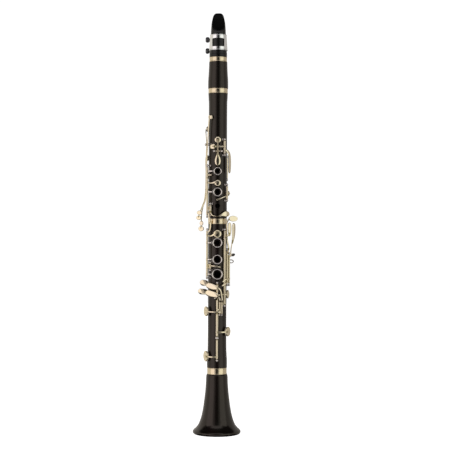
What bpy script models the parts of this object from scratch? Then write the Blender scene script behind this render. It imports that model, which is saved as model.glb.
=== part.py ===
"""Straight Boehm-system clarinet: wooden joints, bell, mouthpiece, ligature and sprung keywork.

The bore axis is the Z axis, the bell stands on z = 0, and the player's fingers come from the front, -Y.
A place on the keywork is given by its angle round the body (0 at the front, positive towards +X), its
distance from the bore axis and its height, in degrees and millimetres.
"""

import math

import bmesh
import bpy
from mathutils import Matrix, Vector

MM = 0.001

# Driving heights along the body, from the bell's foot upwards
BELL_TOP = 104.6
LOWER_JOINT_TOP = 340.0
UPPER_JOINT_TOP = 537.7
BARREL_TOP = 595.2
MOUTHPIECE_TIP = 666.4

# Driving radii
WOOD = 14.7
BORE = 7.4
BELL_FLARE = 38.0
SOCKET = 12.0
TENON = 11.2
CORK = 11.7
CORK_GROOVE = 0.9
CORK_LAND = 2.0
GAP = 0.3

# Keywork heights over the bore axis
PAD_FACE = 15.1
PAD_THICK = 1.4
CUP_FACE = 16.8
CUP_THICK = 2.2
ROD_LOW = 18.6
ROD_HIGH = 20.6
TUBE = 1.6
BALL = 1.9
SMALL_BALL = 1.45
BORED_BALL = 2.7
SLIM_TUBE = 1.25
LOW_CUP = 1.5
STANDING_OPEN = 2.3
RING_FACE = 16.6
RING_THICK = 1.5
CHIMNEY_TOP = 16.7
BAR_THICK = 1.4
THIN_BAR = 1.2
CROSS_TUBE = 1.3
TAB_THICK = 1.0
PAD_INSET = 0.6
UNDER_PAD_HOLE = 0.55
POST_ROOT = 2.2

# Facets
TURNED_SIDES = 20
TUBE_SIDES = 8
CUP_SIDES = 12
RING_SIDES = 12
HOLE_SIDES = 8

COLOURS = {
    "grenadilla": ((0.018, 0.013, 0.012), 0.35, 0.0),
    "ebonite": ((0.012, 0.012, 0.013), 0.3, 0.0),
    "key_metal": ((0.83, 0.76, 0.58), 0.22, 1.0),
    "ferrule_metal": ((0.8, 0.72, 0.52), 0.25, 1.0),
    "ligature_metal": ((0.85, 0.85, 0.86), 0.2, 1.0),
    "cork": ((0.62, 0.44, 0.26), 0.8, 0.0),
    "pad_skin": ((0.86, 0.8, 0.68), 0.6, 0.0),
    "cane": ((0.78, 0.66, 0.38), 0.55, 0.0),
}


def material(name):
    found = bpy.data.materials.get(name)
    if found:
        return found
    colour, roughness, metallic = COLOURS[name]
    made = bpy.data.materials.new(name)
    made.use_nodes = True
    shader = made.node_tree.nodes["Principled BSDF"]
    shader.inputs["Base Color"].default_value = (*colour, 1.0)
    shader.inputs["Roughness"].default_value = roughness
    shader.inputs["Metallic"].default_value = metallic
    made.diffuse_color = (*colour, 1.0)
    return made


# ---- places -------------------------------------------------------------------------------------


def outward(angle):
    turn = math.radians(angle)
    return Vector((math.sin(turn), -math.cos(turn), 0.0))


def at(angle, radius, height):
    """World point, in metres, from angle in degrees and millimetres."""
    return (outward(angle) * radius + Vector((0.0, 0.0, height))) * MM


def angle_of(side, radius):
    """Angle of a rod whose centre line is `side` millimetres to the +X side of the bore axis."""
    return math.degrees(math.asin(side / radius))


# ---- simple solids ------------------------------------------------------------------------------


def finish_mesh(name, mesh_data):
    mesh = bpy.data.meshes.new(name)
    bmesh.ops.recalc_face_normals(mesh_data, faces=mesh_data.faces)
    mesh_data.to_mesh(mesh)
    mesh_data.free()
    body = bpy.data.objects.new(name, mesh)
    bpy.context.scene.collection.objects.link(body)
    return body


def loft(sections):
    """Closed solid through loops of points that match one to one."""
    shape = bmesh.new()
    loops = [[shape.verts.new(point) for point in section] for section in sections]
    count = len(loops[0])
    for low, high in zip(loops, loops[1:]):
        for i in range(count):
            j = (i + 1) % count
            shape.faces.new((low[i], low[j], high[j], high[i]))
    shape.faces.new(list(reversed(loops[0])))
    shape.faces.new(loops[-1])
    return finish_mesh("solid", shape)


def axes_for(normal):
    """Two unit vectors square to the normal; the first is level where it can be."""
    across = Vector((0.0, 0.0, 1.0)).cross(normal)
    if across.length < 1e-6:
        across = Vector((1.0, 0.0, 0.0))
    across.normalize()
    return across, normal.cross(across).normalized()


def circle(centre, normal, radius, sides, stretch=1.0, lean=0.0):
    """Points round a circle, in metres; `stretch` scales its second axis, `lean` turns it in its plane."""
    first, second = axes_for(normal)
    turn = math.radians(lean)
    along = first * math.cos(turn) + second * math.sin(turn)
    up = second * math.cos(turn) - first * math.sin(turn)
    points = []
    for i in range(sides):
        phase = 2.0 * math.pi * (i + 0.5) / sides
        points.append(centre + (along * math.cos(phase) + up * math.sin(phase) * stretch) * radius * MM)
    return points


def rod(start, end, radius, sides=TUBE_SIDES):
    normal = (end - start).normalized()
    return loft([circle(start, normal, radius, sides), circle(end, normal, radius, sides)])


def ball(centre, radius):
    shape = bmesh.new()
    bmesh.ops.create_icosphere(shape, subdivisions=1, radius=radius * MM, matrix=Matrix.Translation(centre))
    return finish_mesh("ball", shape)


def turned(profile, sides=TURNED_SIDES):
    """Solid of revolution about the bore axis from a closed outline of (radius, height) pairs."""
    shape = bmesh.new()
    loops = []
    for i in range(sides):
        turn = 2.0 * math.pi * i / sides
        way = Vector((math.cos(turn), math.sin(turn), 0.0))
        loops.append([shape.verts.new((way * r + Vector((0.0, 0.0, z))) * MM) for r, z in profile])
    count = len(profile)
    for i in range(sides):
        here, there = loops[i], loops[(i + 1) % sides]
        for j in range(count):
            k = (j + 1) % count
            shape.faces.new((here[j], there[j], there[k], here[k]))
    return finish_mesh("turned", shape)


def spindle(profile, sides=TURNED_SIDES):
    """Solid turned shape about the bore axis, closed by flat ends, from (radius, height) pairs going up."""
    turns = [2.0 * math.pi * i / sides for i in range(sides)]
    return loft([[Vector((r * math.cos(a), r * math.sin(a), z)) * MM for a in turns] for r, z in profile])


def bar(path, width, thick=BAR_THICK, facing=None):
    """Flat bar along places (angle, radius, height[, width]); it faces outward, or to one given angle."""
    places = [at(*stop[:3]) for stop in path]
    sections = []
    for i, place in enumerate(places):
        before = places[max(i - 1, 0)]
        after = places[min(i + 1, len(places) - 1)]
        way = (after - before).normalized()
        up = outward(path[i][0] if facing is None else facing)
        up = (up - way * up.dot(way)).normalized()
        side = way.cross(up).normalized()
        wide = (path[i][3] if len(path[i]) > 3 else width) * 0.5 * MM
        tall = thick * 0.5 * MM
        sections.append([
            place - side * wide - up * tall,
            place + side * wide - up * tall,
            place + side * wide + up * tall,
            place - side * wide + up * tall,
        ])
    return loft(sections)


def disc(angle, low, height, radius, thick, crown=0.0):
    """Round plate square to the outward direction, with a crowned top if asked."""
    normal = outward(angle)
    base = circle(at(angle, low, height), normal, radius, CUP_SIDES)
    top = circle(at(angle, low + thick, height), normal, radius, CUP_SIDES)
    sections = [base, top]
    if crown:
        sections.append(circle(at(angle, low + thick + crown, height), normal, radius * 0.55, CUP_SIDES))
    return loft(sections)


def flat_ring(low, normal, outer, inner, thick):
    """Flat ring that stands on the point `low` and faces along the normal."""
    high = low + normal * thick * MM
    loops = [
        circle(low, normal, inner, RING_SIDES),
        circle(low, normal, outer, RING_SIDES),
        circle(high, normal, outer, RING_SIDES),
        circle(high, normal, inner, RING_SIDES),
    ]
    shape = bmesh.new()
    verts = [[shape.verts.new(point) for point in loop] for loop in loops]
    for k in range(len(verts)):
        here, there = verts[k], verts[(k + 1) % len(verts)]
        for i in range(RING_SIDES):
            j = (i + 1) % RING_SIDES
            shape.faces.new((here[i], here[j], there[j], there[i]))
    return finish_mesh("ring", shape)


def hoop(angle, low, height, outer, inner, thick):
    """Flat finger ring square to the outward direction."""
    return flat_ring(at(angle, low, height), outward(angle), outer, inner, thick)


def touch(centre, normal, length, width, thick=BAR_THICK, lean=0.0):
    """Oval finger plate; its length lies along its level axis, turned by `lean` degrees."""
    low = centre - normal * thick * 0.5 * MM
    high = centre + normal * thick * 0.5 * MM
    stretch = width / length
    return loft([
        circle(low, normal, length * 0.5, CUP_SIDES, stretch, lean),
        circle(high, normal, length * 0.5, CUP_SIDES, stretch, lean),
    ])


def block(low, high):
    """Axis-aligned box between two corners in millimetres."""
    shape = bmesh.new()
    size = [(high[i] - low[i]) * MM for i in range(3)]
    middle = [(high[i] + low[i]) * 0.5 * MM for i in range(3)]
    matrix = Matrix.Translation(middle) @ Matrix.Diagonal((*size, 1.0))
    bmesh.ops.create_cube(shape, size=1.0, matrix=matrix)
    return finish_mesh("block", shape)


# ---- joining solids into parts -------------------------------------------------------------------


def gather(solids):
    """Put separate solids that don't touch each other into one helper object."""
    shape = bmesh.new()
    for solid in solids:
        shape.from_mesh(solid.data)
        bpy.data.objects.remove(solid)
    return finish_mesh("group", shape)


def combine(base, other, operation):
    modifier = base.modifiers.new(operation.lower(), "BOOLEAN")
    modifier.operation = operation
    modifier.solver = "EXACT"
    modifier.object = other


def part(name, look, solids, cuts=(), origin=None):
    """One named sub-part: the union of its solids, less its cuts, with its origin on its joint's axis."""
    base = solids[0]
    for other in solids[1:]:
        combine(base, other, "UNION")
    for other in cuts:
        combine(base, other, "DIFFERENCE")
    graph = bpy.context.evaluated_depsgraph_get()
    mesh = bpy.data.meshes.new_from_object(base.evaluated_get(graph))
    for helper in [*solids, *cuts]:
        bpy.data.objects.remove(helper)
    place = Vector((0.0, 0.0, 0.0)) if origin is None else origin
    clean = bmesh.new()
    clean.from_mesh(mesh)
    bmesh.ops.remove_doubles(clean, verts=clean.verts, dist=1e-6)
    bmesh.ops.translate(clean, verts=clean.verts, vec=-place)
    clean.to_mesh(mesh)
    clean.free()
    mesh.name = name
    mesh.materials.clear()
    mesh.materials.append(material(look))
    mesh.shade_smooth()
    mesh.set_sharp_from_angle(angle=math.radians(35.0))
    made = bpy.data.objects.new(name, mesh)
    made.location = place
    bpy.context.scene.collection.objects.link(made)
    return made


# ---- body: mouthpiece, barrel, joints and bell ----------------------------------------------------

MOUTHPIECE_OUTLINE = [(13.7, 595.5), (14.1, 599.0), (13.4, 606.0), (12.0, 631.0), (11.6, 639.5),
                      (10.6, 650.7), (9.5, 655.8), (8.9, 660.2), (8.5, 663.3), (8.0, 665.0),
                      (7.4, MOUTHPIECE_TIP)]
MOUTHPIECE_BORE = 7.6
TABLE = 8.2
TIP_RAIL = 1.2
REED_TOP = 665.6
WELL_TOP = 663.0


def mouthpiece_radius(height):
    for (low_r, low_z), (high_r, high_z) in zip(MOUTHPIECE_OUTLINE, MOUTHPIECE_OUTLINE[1:]):
        if low_z <= height <= high_z:
            return low_r + (high_r - low_r) * (height - low_z) / (high_z - low_z)
    return MOUTHPIECE_OUTLINE[0][0]


def corked(low, high):
    """Tenon outline between two heights, outer side, with a groove for its cork ring."""
    floor = TENON - CORK_GROOVE
    return [(TENON, low), (TENON, low + CORK_LAND), (floor, low + CORK_LAND), (floor, high - CORK_LAND),
            (TENON, high - CORK_LAND), (TENON, high)]


def cork(name, low, high):
    inner = TENON - CORK_GROOVE + GAP
    outline = [(inner, low + GAP), (CORK, low + GAP), (CORK, high - GAP), (inner, high - GAP)]
    part(name, "cork", [turned(outline)])


def ferrule(name, low, high, inner, outer):
    outline = [(inner, low), (outer, low), (outer, high), (inner, high)]
    part(name, "ferrule_metal", [turned(outline)])


def make_mouthpiece():
    tenon = corked(577.0, 595.5)
    blank = spindle([*tenon, *MOUTHPIECE_OUTLINE])
    bore = spindle([(MOUTHPIECE_BORE, 570.0), (MOUTHPIECE_BORE, 628.0), (4.0, 640.0)])
    table = block((-20.0, TABLE, 596.0), (20.0, 30.0, 670.0))
    tip = TABLE - TIP_RAIL
    slope = ((-30.0, 634.0), (-12.4, 634.0), (tip, MOUTHPIECE_TIP), (tip, 680.0), (-30.0, 680.0))
    beak = loft([[Vector((x, y, z)) * MM for y, z in slope] for x in (-20.0, 20.0)])
    well = ((3.0, 622.0), (TABLE + 1.0, 622.0), (TABLE + 1.0, WELL_TOP), (TABLE, WELL_TOP), (3.0, 652.0))
    window = loft([[Vector((x, y, z)) * MM for y, z in well] for x in (-5.2, 5.2)])
    part("mouthpiece", "ebonite", [blank], [bore, table, beak, window])
    cork("mouthpiece_cork", 579.0, 593.5)


def make_reed():
    heel, shoulder = 598.0, 632.0
    face = TABLE + GAP
    sections = []
    stations = ((heel, 2.6, 5.6), (shoulder, 2.6, 6.0), (655.0, 1.0, 6.2), (662.5, 0.45, 6.1),
                (664.9, 0.35, 4.8), (REED_TOP, 0.35, 2.6))
    for height, thick, half in stations:
        sections.append([
            Vector((-half, face, height)) * MM,
            Vector((half, face, height)) * MM,
            Vector((half * 0.8, face + thick, height)) * MM,
            Vector((-half * 0.8, face + thick, height)) * MM,
        ])
    part("reed", "cane", [loft(sections)])


# Ligature: two screws across the back, with rounded thumb heads on the -X side
SCREW_HEIGHTS = (607.6, 625.4)
SCREW_Y = 16.6
SCREW_HOLE = 1.5
LUG_HALF = 2.2
THUMB_HEAD = [(2.6, -20.6), (4.2, -19.3), (4.5, -17.4), (4.2, -15.6), (2.6, -14.2)]


def level_rod(left, right, height, radius):
    """Rod across the back of the ligature, along X."""
    return rod(Vector((left, SCREW_Y, height)) * MM, Vector((right, SCREW_Y, height)) * MM, radius)


def make_ligature():
    low, high = 605.8, 630.7
    skin = 0.8
    rise = 0.35
    inner_low, inner_high = mouthpiece_radius(low) + rise, mouthpiece_radius(high) + rise
    wall = [(inner_low, low), (inner_low + skin, low), (inner_high + skin, high), (inner_high, high)]
    band = turned(wall)
    lugs = [block((-4.6, 13.0, z - LUG_HALF), (4.6, 19.2, z + LUG_HALF)) for z in SCREW_HEIGHTS]
    window = block((-9.0, -20.0, 611.4), (9.0, 0.0, 624.6))
    split = block((-1.0, 12.0, 600.0), (1.0, 25.0, 640.0))
    room = block((-6.8, 0.0, 600.0), (6.8, TABLE + 3.2, 640.0))
    holes = [level_rod(-8.0, 8.0, z, SCREW_HOLE) for z in SCREW_HEIGHTS]
    part("ligature_band", "ligature_metal", [band, gather(lugs)], [window, split, room, gather(holes)])
    for name, z in zip(("ligature_screw_lower", "ligature_screw_upper"), SCREW_HEIGHTS):
        axis = Vector((0.0, SCREW_Y, z)) * MM
        across = Vector((1.0, 0.0, 0.0))
        places = [(r, Vector((x, SCREW_Y, z)) * MM) for r, x in THUMB_HEAD]
        head = loft([circle(place, across, r, CUP_SIDES) for r, place in places])
        solids = [head, level_rod(-15.0, -5.0, z, 1.9), level_rod(-9.5, 6.6, z, 1.15)]
        part(name, "ligature_metal", solids, origin=axis)


def make_barrel():
    socket_floor, mouth_floor = 556.5, 575.0
    outline = [(SOCKET, 538.0), (14.4, 538.0), (14.4, 545.9), (15.9, 545.9), (15.9, 556.0), (15.1, 569.0),
               (14.4, 587.7), (13.0, 587.7), (13.0, BARREL_TOP), (SOCKET, BARREL_TOP),
               (SOCKET, mouth_floor),
               (BORE, mouth_floor), (BORE, socket_floor), (SOCKET, socket_floor)]
    part("barrel", "grenadilla", [turned(outline)])
    ferrule("barrel_lower_ring", 538.0, 545.6, 14.4 + GAP, 15.5)
    ferrule("barrel_upper_ring", 588.0, BARREL_TOP, 13.0 + GAP, 14.0)


def post(angle, reach, height, bead=BALL):
    """Turned post from inside the wood out to its ball."""
    stalk = rod(at(angle, WOOD - POST_ROOT, height), at(angle, reach, height), bead * 0.68, 6)
    return [stalk, ball(at(angle, reach, height), bead)]


def chimney(angle, height, lip):
    """Raised wooden lip round a finger hole."""
    return rod(at(angle, WOOD - POST_ROOT, height), at(angle, CHIMNEY_TOP, height), lip, RING_SIDES)


def bored(angle, height, hole, reach=20.0):
    """Cutter for a tone hole down into the bore."""
    return rod(at(angle, BORE - 2.4, height), at(angle, reach, height), hole, HOLE_SIDES)


# Longitudinal rods: angle round the body, from the centre line's offset to the side and its distance out
LEFT_ROD = angle_of(-16.4, ROD_HIGH)
LOWER_LEFT_ROD = angle_of(-16.3, ROD_HIGH)
G_SHARP_ROD = angle_of(10.7, ROD_LOW)
SLIVER_ROD = angle_of(14.9, ROD_LOW)
C_SHARP_ROD = angle_of(-11.2, ROD_LOW)
FORK_ROD = angle_of(-11.4, ROD_LOW)
MAIN_ROD = 0.0
F_ROD = angle_of(4.1, ROD_LOW)
F_SHARP_ROD = angle_of(7.3, ROD_LOW)
THUMB_ROD = 128.0

# Left-hand little-finger lever rods: (angle, distance out, tube bottom, tube top)
LH_RODS = [(38.2, ROD_LOW, 205.0, 320.5), (53.5, 19.2, 238.0, 289.0), (70.0, 19.6, 238.0, 283.0)]
POST_BEYOND_TUBE = 2.3

# See-saw axes across the body: (middle angle, distance out, height, half spread of its posts, post bead)
A_AXIS = (1.2, 17.4, 446.0, 19.0, BALL)
REGISTER_AXIS = (180.0, 17.6, 468.0, 17.0, BALL)
TRILL_AXIS = (-66.5, 18.36, 457.0, 17.0, BALL)
SIDE_AXIS = (-101.0, 18.3, 386.0, 15.4, SMALL_BALL)

# Finger holes: (angle, height, radius, radius of the raised lip)
UPPER_HOLES = [(0.0, 414.6, 2.9, 4.1), (0.0, 382.0, 3.4, 4.7), (0.0, 360.0, 3.5, 4.5),
               (180.0, 422.0, 3.2, 4.2)]
LOWER_HOLES = [(0.0, 302.0, 3.8, 5.35), (0.0, 275.7, 4.3, 5.25), (0.0, 252.6, 5.0, 6.1)]

# Finger rings: (height, outer radius, inner radius)
THUMB_RING = (422.0, 6.4, 5.0)
FIRST_RING = (414.6, 6.25, 4.85)
SECOND_RING = (382.0, 6.95, 5.45)
LOWER_RINGS = [(302.0, 7.75, 6.1), (275.7, 7.6, 6.0), (252.6, 8.5, 6.85)]

# Padded holes: part name -> (angle, height, cup radius, cup face, cup depth)
UPPER_PADS = {
    "register_key": (180.0, 503.0, 4.2, CUP_FACE, CUP_THICK),
    "thumb_ring_key": (155.0, 431.0, 4.0, CUP_FACE + 1.2, CUP_THICK),
    "a_key": (0.0, 464.0, 5.0, CUP_FACE, CUP_THICK),
    "g_sharp_key": (-27.5, 453.5, 4.7, CUP_FACE, CUP_THICK),
    "side_key_1": (-43.5, 499.8, 4.2, CUP_FACE, CUP_THICK),
    "side_key_2": (-106.0, 482.0, 4.2, CUP_FACE, CUP_THICK),
    "side_key_3": (-98.0, 436.0, 5.0, CUP_FACE, CUP_THICK),
    "side_key_4": (-117.0, 408.0, 5.0, CUP_FACE, CUP_THICK),
    "second_ring_key": (0.0, 396.0, 5.0, CUP_FACE + 1.9, CUP_THICK),
    "upper_e_flat_key": (88.0, 380.0, 3.8, CUP_FACE, CUP_THICK),
    "c_sharp_g_sharp_key": (-51.0, 356.0, 3.6, CUP_FACE - 0.5, LOW_CUP),
}
LOWER_PADS = {
    "lower_ring_key": (0.0, 316.0, 6.2, CUP_FACE + 1.9, CUP_THICK),
    "fork_key": (-60.0, 265.0, 4.0, CUP_FACE - 0.5, LOW_CUP),
    "a_flat_e_flat_key": (76.0, 220.7, 6.8, CUP_FACE, CUP_THICK),
    "f_sharp_c_sharp_key": (-66.0, 193.7, 8.0, CUP_FACE + STANDING_OPEN, CUP_THICK),
    "f_c_key": (62.0, 162.0, 7.75, CUP_FACE + STANDING_OPEN, CUP_THICK),
    "e_b_key": (-66.0, 123.0, 8.5, CUP_FACE + STANDING_OPEN, CUP_THICK),
}
PAD_PLACES = {**UPPER_PADS, **LOWER_PADS}


def cup_with_pad(owner):
    """Make the owner's pad as its own part, and return the solid of the cup over it."""
    angle, height, radius, face, deep = PAD_PLACES[owner]
    thick = min(PAD_THICK, face - GAP - PAD_FACE)
    pad = disc(angle, face - GAP - thick, height, radius - PAD_INSET, thick)
    part(owner + "_pad", "pad_skin", [pad])
    return disc(angle, face, height, radius, deep * 0.6, deep * 0.4)


def joint_part(name, outline, posts, finger_holes, pads, cuts=()):
    """Wooden joint with its posts and raised lips, bored through for every finger hole and pad."""
    stalks = gather([pair[0] for pair in posts])
    balls = gather([pair[1] for pair in posts])
    lips = gather([chimney(angle, height, lip) for angle, height, _, lip in finger_holes])
    holes = [bored(*hole[:3]) for hole in finger_holes]
    holes += [bored(place[0], place[1], place[2] * UNDER_PAD_HOLE) for place in pads.values()]
    part(name, "grenadilla", [turned(outline), lips, stalks, balls], [*holes, *cuts])


def axis_posts(axis):
    """The two posts of a see-saw axis."""
    angle, reach, height, spread, bead = axis
    far = reach / math.cos(math.radians(spread))
    return [post(angle + side * spread, far, height, bead) for side in (-1.0, 1.0)]


def make_upper_joint():
    low, high = 340.3, UPPER_JOINT_TOP
    outline = [(BORE, 322.0), *corked(322.0, low), (WOOD, low), (WOOD - 0.2, 430.0), (WOOD - 0.2, 515.0),
               (14.9, 528.0), (15.4, high), *corked(high, 554.5), (BORE, 554.5)]
    stations = [
        (G_SHARP_ROD, ROD_LOW, 464.8), (G_SHARP_ROD, ROD_LOW, 440.0),
        (LEFT_ROD, ROD_HIGH, 423.4), (LEFT_ROD, ROD_HIGH, 343.0),
        (SLIVER_ROD, ROD_LOW, 393.4), (SLIVER_ROD, ROD_LOW, 368.4),
        (C_SHARP_ROD, ROD_LOW, 363.4), (C_SHARP_ROD, ROD_LOW, 345.2, SMALL_BALL),
        (THUMB_ROD, ROD_LOW, 438.8), (THUMB_ROD, ROD_LOW, 401.8),
    ]
    posts = [post(*station) for station in stations]
    for axis in (A_AXIS, REGISTER_AXIS, TRILL_AXIS, SIDE_AXIS):
        posts += axis_posts(axis)
    joint_part("upper_joint", outline, posts, UPPER_HOLES, UPPER_PADS)
    cork("upper_joint_bottom_cork", 324.0, low - CORK_LAND)
    cork("upper_joint_top_cork", high + CORK_LAND, 552.5)


def make_lower_joint():
    low, high = 104.9, LOWER_JOINT_TOP
    outline = [(BORE, 90.0), *corked(90.0, low), (15.9, low), (15.9, 117.0), (15.0, 132.0), (WOOD, 160.0),
               (WOOD, 331.3), (14.0, 331.3), (14.0, high), (SOCKET, high), (SOCKET, 320.5), (BORE, 320.5)]
    stations = [
        (LOWER_LEFT_ROD, ROD_HIGH, 322.8), (LOWER_LEFT_ROD, ROD_HIGH, 246.6),
        (FORK_ROD, ROD_LOW, 271.2), (FORK_ROD, ROD_LOW, 258.8),
        (MAIN_ROD, ROD_LOW, 239.0), (MAIN_ROD, ROD_LOW, 152.4, BORED_BALL), (MAIN_ROD, ROD_LOW, 117.0),
        (F_ROD, ROD_LOW, 188.6, SMALL_BALL), (F_SHARP_ROD, ROD_LOW, 188.6, SMALL_BALL),
        (F_ROD, ROD_LOW, 214.4, SMALL_BALL), (F_SHARP_ROD, ROD_LOW, 214.4, SMALL_BALL),
    ]
    for angle, reach, bottom, top in LH_RODS:
        stations += [(angle, reach, bottom - POST_BEYOND_TUBE), (angle, reach, top + POST_BEYOND_TUBE)]
    posts = [post(*station) for station in stations]
    through = rod(at(MAIN_ROD, ROD_LOW, 148.0), at(MAIN_ROD, ROD_LOW, 157.0), 1.25)
    nut = rod(at(THUMB_REST_ANGLE, 11.0, THUMB_SCREW_Z), at(THUMB_REST_ANGLE, 20.0, THUMB_SCREW_Z), 1.5)
    joint_part("lower_joint", outline, posts, LOWER_HOLES, LOWER_PADS, [through, nut])
    ferrule("lower_joint_top_ring", 331.6, high, 14.0 + GAP, 15.2)
    cork("lower_joint_cork", 92.0, low - CORK_LAND)


def make_bell():
    outer = [(17.0, 91.0), (17.5, 79.0), (18.5, 66.0), (19.9, 54.0), (21.7, 41.0), (24.3, 28.0), (28.4, 16.0),
             (33.7, 9.5), (37.3, 6.0), (BELL_FLARE, 3.4), (37.3, 0.8), (36.2, 0.0)]
    inner = [(34.4, 0.0), (33.0, 3.5), (27.0, 11.0), (22.0, 24.0), (18.6, 42.0), (15.6, 62.0), (12.6, 87.6),
             (SOCKET, 87.6), (SOCKET, BELL_TOP)]
    neck = [(14.4, BELL_TOP), (14.4, 94.3), (16.4, 94.3)]
    part("bell", "grenadilla", [turned([*inner, *neck, *outer], 28)])
    ferrule("bell_ring", 94.6, BELL_TOP, 14.4 + GAP, 15.7)


# Thumb rest on the back: hook over the thumb, and a strap ring on a stud below it
THUMB_REST_ANGLE = 126.0
THUMB_REST_Z = 281.0
THUMB_REST_REACH = 30.0
THUMB_SCREW_Z = THUMB_REST_Z + 9.0
STRAP_RING_Z = THUMB_REST_Z - 9.0


def make_thumb_rest():
    angle, z = THUMB_REST_ANGLE, THUMB_REST_Z
    way = outward(angle)
    plate = bar([(angle, 15.9, z - 12.0), (angle, 15.9, z + 13.0)], 9.0)
    hole = rod(at(angle, 14.0, THUMB_SCREW_Z), at(angle, 18.0, THUMB_SCREW_Z), 1.5)
    shelf = loft([
        circle(at(angle, 16.0, z), way, 6.0, CUP_SIDES, 0.3),
        circle(at(angle, THUMB_REST_REACH, z), way, 6.0, CUP_SIDES, 0.3),
    ])
    lip = touch(at(angle, THUMB_REST_REACH, z + 1.6), way, 13.0, 8.0, 2.0)
    stud = rod(at(angle, 15.9, STRAP_RING_Z), at(angle, 23.2, STRAP_RING_Z), 1.3)
    facing = Vector((0.0, -0.6, 0.8))
    strap_ring = flat_ring(at(angle, 26.6, STRAP_RING_Z) - facing * 0.7 * MM, facing, 4.6, 3.0, 1.4)
    part("thumb_rest", "key_metal", [plate, shelf, lip, stud, strap_ring], [hole])
    shank = rod(at(angle, 11.6, THUMB_SCREW_Z), at(angle, 17.3, THUMB_SCREW_Z), 1.15)
    head = rod(at(angle, 17.0, THUMB_SCREW_Z), at(angle, 18.2, THUMB_SCREW_Z), 2.4, CUP_SIDES)
    part("thumb_rest_screw", "key_metal", [head, shank])


# ---- keywork -------------------------------------------------------------------------------------


def tube(angle, reach, low, high, radius=TUBE):
    """Hinge tube along the body."""
    return rod(at(angle, reach, low), at(angle, reach, high), radius)


def cross_tube(axis, low, high, radius=CROSS_TUBE):
    """Hinge tube across the body on a see-saw axis, between two offsets from its middle."""
    angle, reach, height = axis[:3]
    along = outward(angle + 90.0) * MM
    middle = at(angle, reach, height)
    return rod(middle + along * low, middle + along * high, radius)


def make_register_key():
    name = "register_key"
    lever = bar([(180.0, 19.0, 503.0), (180.0, 18.6, 490.0), (180.0, 17.8, 468.0), (180.0, 18.4, 456.0),
                 (180.0, 20.0, 446.0, 4.0), (180.0, 20.2, 438.0, 6.5), (180.0, 19.8, 431.5, 4.0)], 3.0)
    part(name, "key_metal", [cup_with_pad(name), lever, cross_tube(REGISTER_AXIS, -3.0, 3.0)],
         origin=at(*REGISTER_AXIS[:3]))


def make_thumb_ring_key():
    name = "thumb_ring_key"
    height, outer, inner = THUMB_RING
    ring = hoop(180.0, RING_FACE, height, outer, inner, RING_THICK)
    arm = bar([(THUMB_ROD, ROD_LOW, height), (146.0, 18.2, height), (162.5, 17.5, height)], 2.4)
    pad_arm = bar([(THUMB_ROD, ROD_LOW, 431.0), (138.0, 20.4, 431.0), (155.0, 20.4, 431.0)], 2.4)
    hinge = tube(THUMB_ROD, ROD_LOW, 404.1, 436.5)
    part(name, "key_metal", [hinge, cup_with_pad(name), pad_arm, arm, ring],
         origin=at(THUMB_ROD, ROD_LOW, height))


def make_a_key():
    name = "a_key"
    lever = bar([(0.0, 19.4, 464.0), (0.0, 19.8, 458.0), (0.0, 19.8, 452.0), (0.0, 18.6, 446.0),
                 (0.0, 19.4, 440.0, 4.0), (0.0, 19.8, 433.0, 8.6), (0.0, 19.6, 428.0, 7.6),
                 (0.0, 19.2, 424.2, 3.0)], 2.4)
    hinge = cross_tube(A_AXIS, -3.7, 3.7)
    part(name, "key_metal", [cup_with_pad(name), lever, hinge], origin=at(*A_AXIS[:3]))


def make_g_sharp_key():
    name = "g_sharp_key"
    rod_here = G_SHARP_ROD
    arm = bar([(rod_here, ROD_LOW, 453.5), (22.0, 16.9, 453.5), (-9.0, 16.8, 453.5), (-16.0, 18.8, 453.5),
               (-27.5, 19.0, 453.5)], 2.2, THIN_BAR)
    finger = bar([(rod_here, ROD_LOW, 448.0, 3.0), (46.0, 20.2, 446.5, 4.5), (58.0, 21.0, 443.0, 6.5),
                  (62.0, 21.2, 436.0, 8.2), (62.5, 21.0, 418.0, 8.0), (62.0, 20.6, 412.5, 4.5)], 3.0)
    part(name, "key_metal", [tube(rod_here, ROD_LOW, 442.4, 462.4), cup_with_pad(name), arm, finger],
         origin=at(rod_here, ROD_LOW, 453.5))


# Side keys: axis, offset of the bar on it, and the bar's stops from cup to touch
SIDE_KEYS = [
    ("side_key_1", TRILL_AXIS, 1.8, [
        (-43.5, 19.0, 499.8), (-50.0, 18.8, 490.0), (-56.0, 18.4, 476.0), (-61.0, 18.4, 457.0),
        (-66.0, 18.8, 440.0), (-68.0, 19.0, 426.0), (-68.0, 19.6, 373.0), (-69.0, 23.8, 361.0),
        (-70.0, 28.8, 352.0)], (-28.5, -10.8, 349.2), 9.0, 6.8),
    ("side_key_2", TRILL_AXIS, -1.8, [
        (-106.0, 19.0, 482.0), (-92.0, 19.0, 475.0), (-80.0, 18.4, 467.0), (-72.0, 18.4, 457.0),
        (-75.0, 18.8, 443.0), (-76.5, 19.0, 426.0), (-76.5, 19.6, 373.0), (-78.5, 24.6, 360.0),
        (-80.5, 30.0, 346.0), (-80.4, 30.2, 341.2)], (-29.6, -5.0, 341.2), 9.0, 6.8),
    ("side_key_3", SIDE_AXIS, 1.7, [
        (-98.0, 19.0, 436.0), (-97.0, 19.4, 426.0), (-96.0, 18.8, 416.0), (-95.7, 18.4, 386.0),
        (-95.0, 19.4, 373.0), (-94.0, 24.0, 359.0), (-92.5, 25.6, 346.0), (-91.0, 25.6, 335.0)],
     (-25.5, 0.6, 332.5), 6.5, 8.0),
    ("side_key_4", SIDE_AXIS, -1.7, [
        (-117.0, 19.0, 408.0), (-111.0, 19.2, 399.0), (-106.5, 18.6, 393.0), (-106.3, 18.4, 386.0),
        (-104.5, 19.4, 373.0), (-102.5, 24.0, 359.0), (-100.0, 26.0, 346.0), (-98.0, 26.2, 324.0)],
     (-26.0, 3.6, 324.0), 10.0, 8.0),
]


SIDE_TUBE_HALF = 1.45


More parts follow.
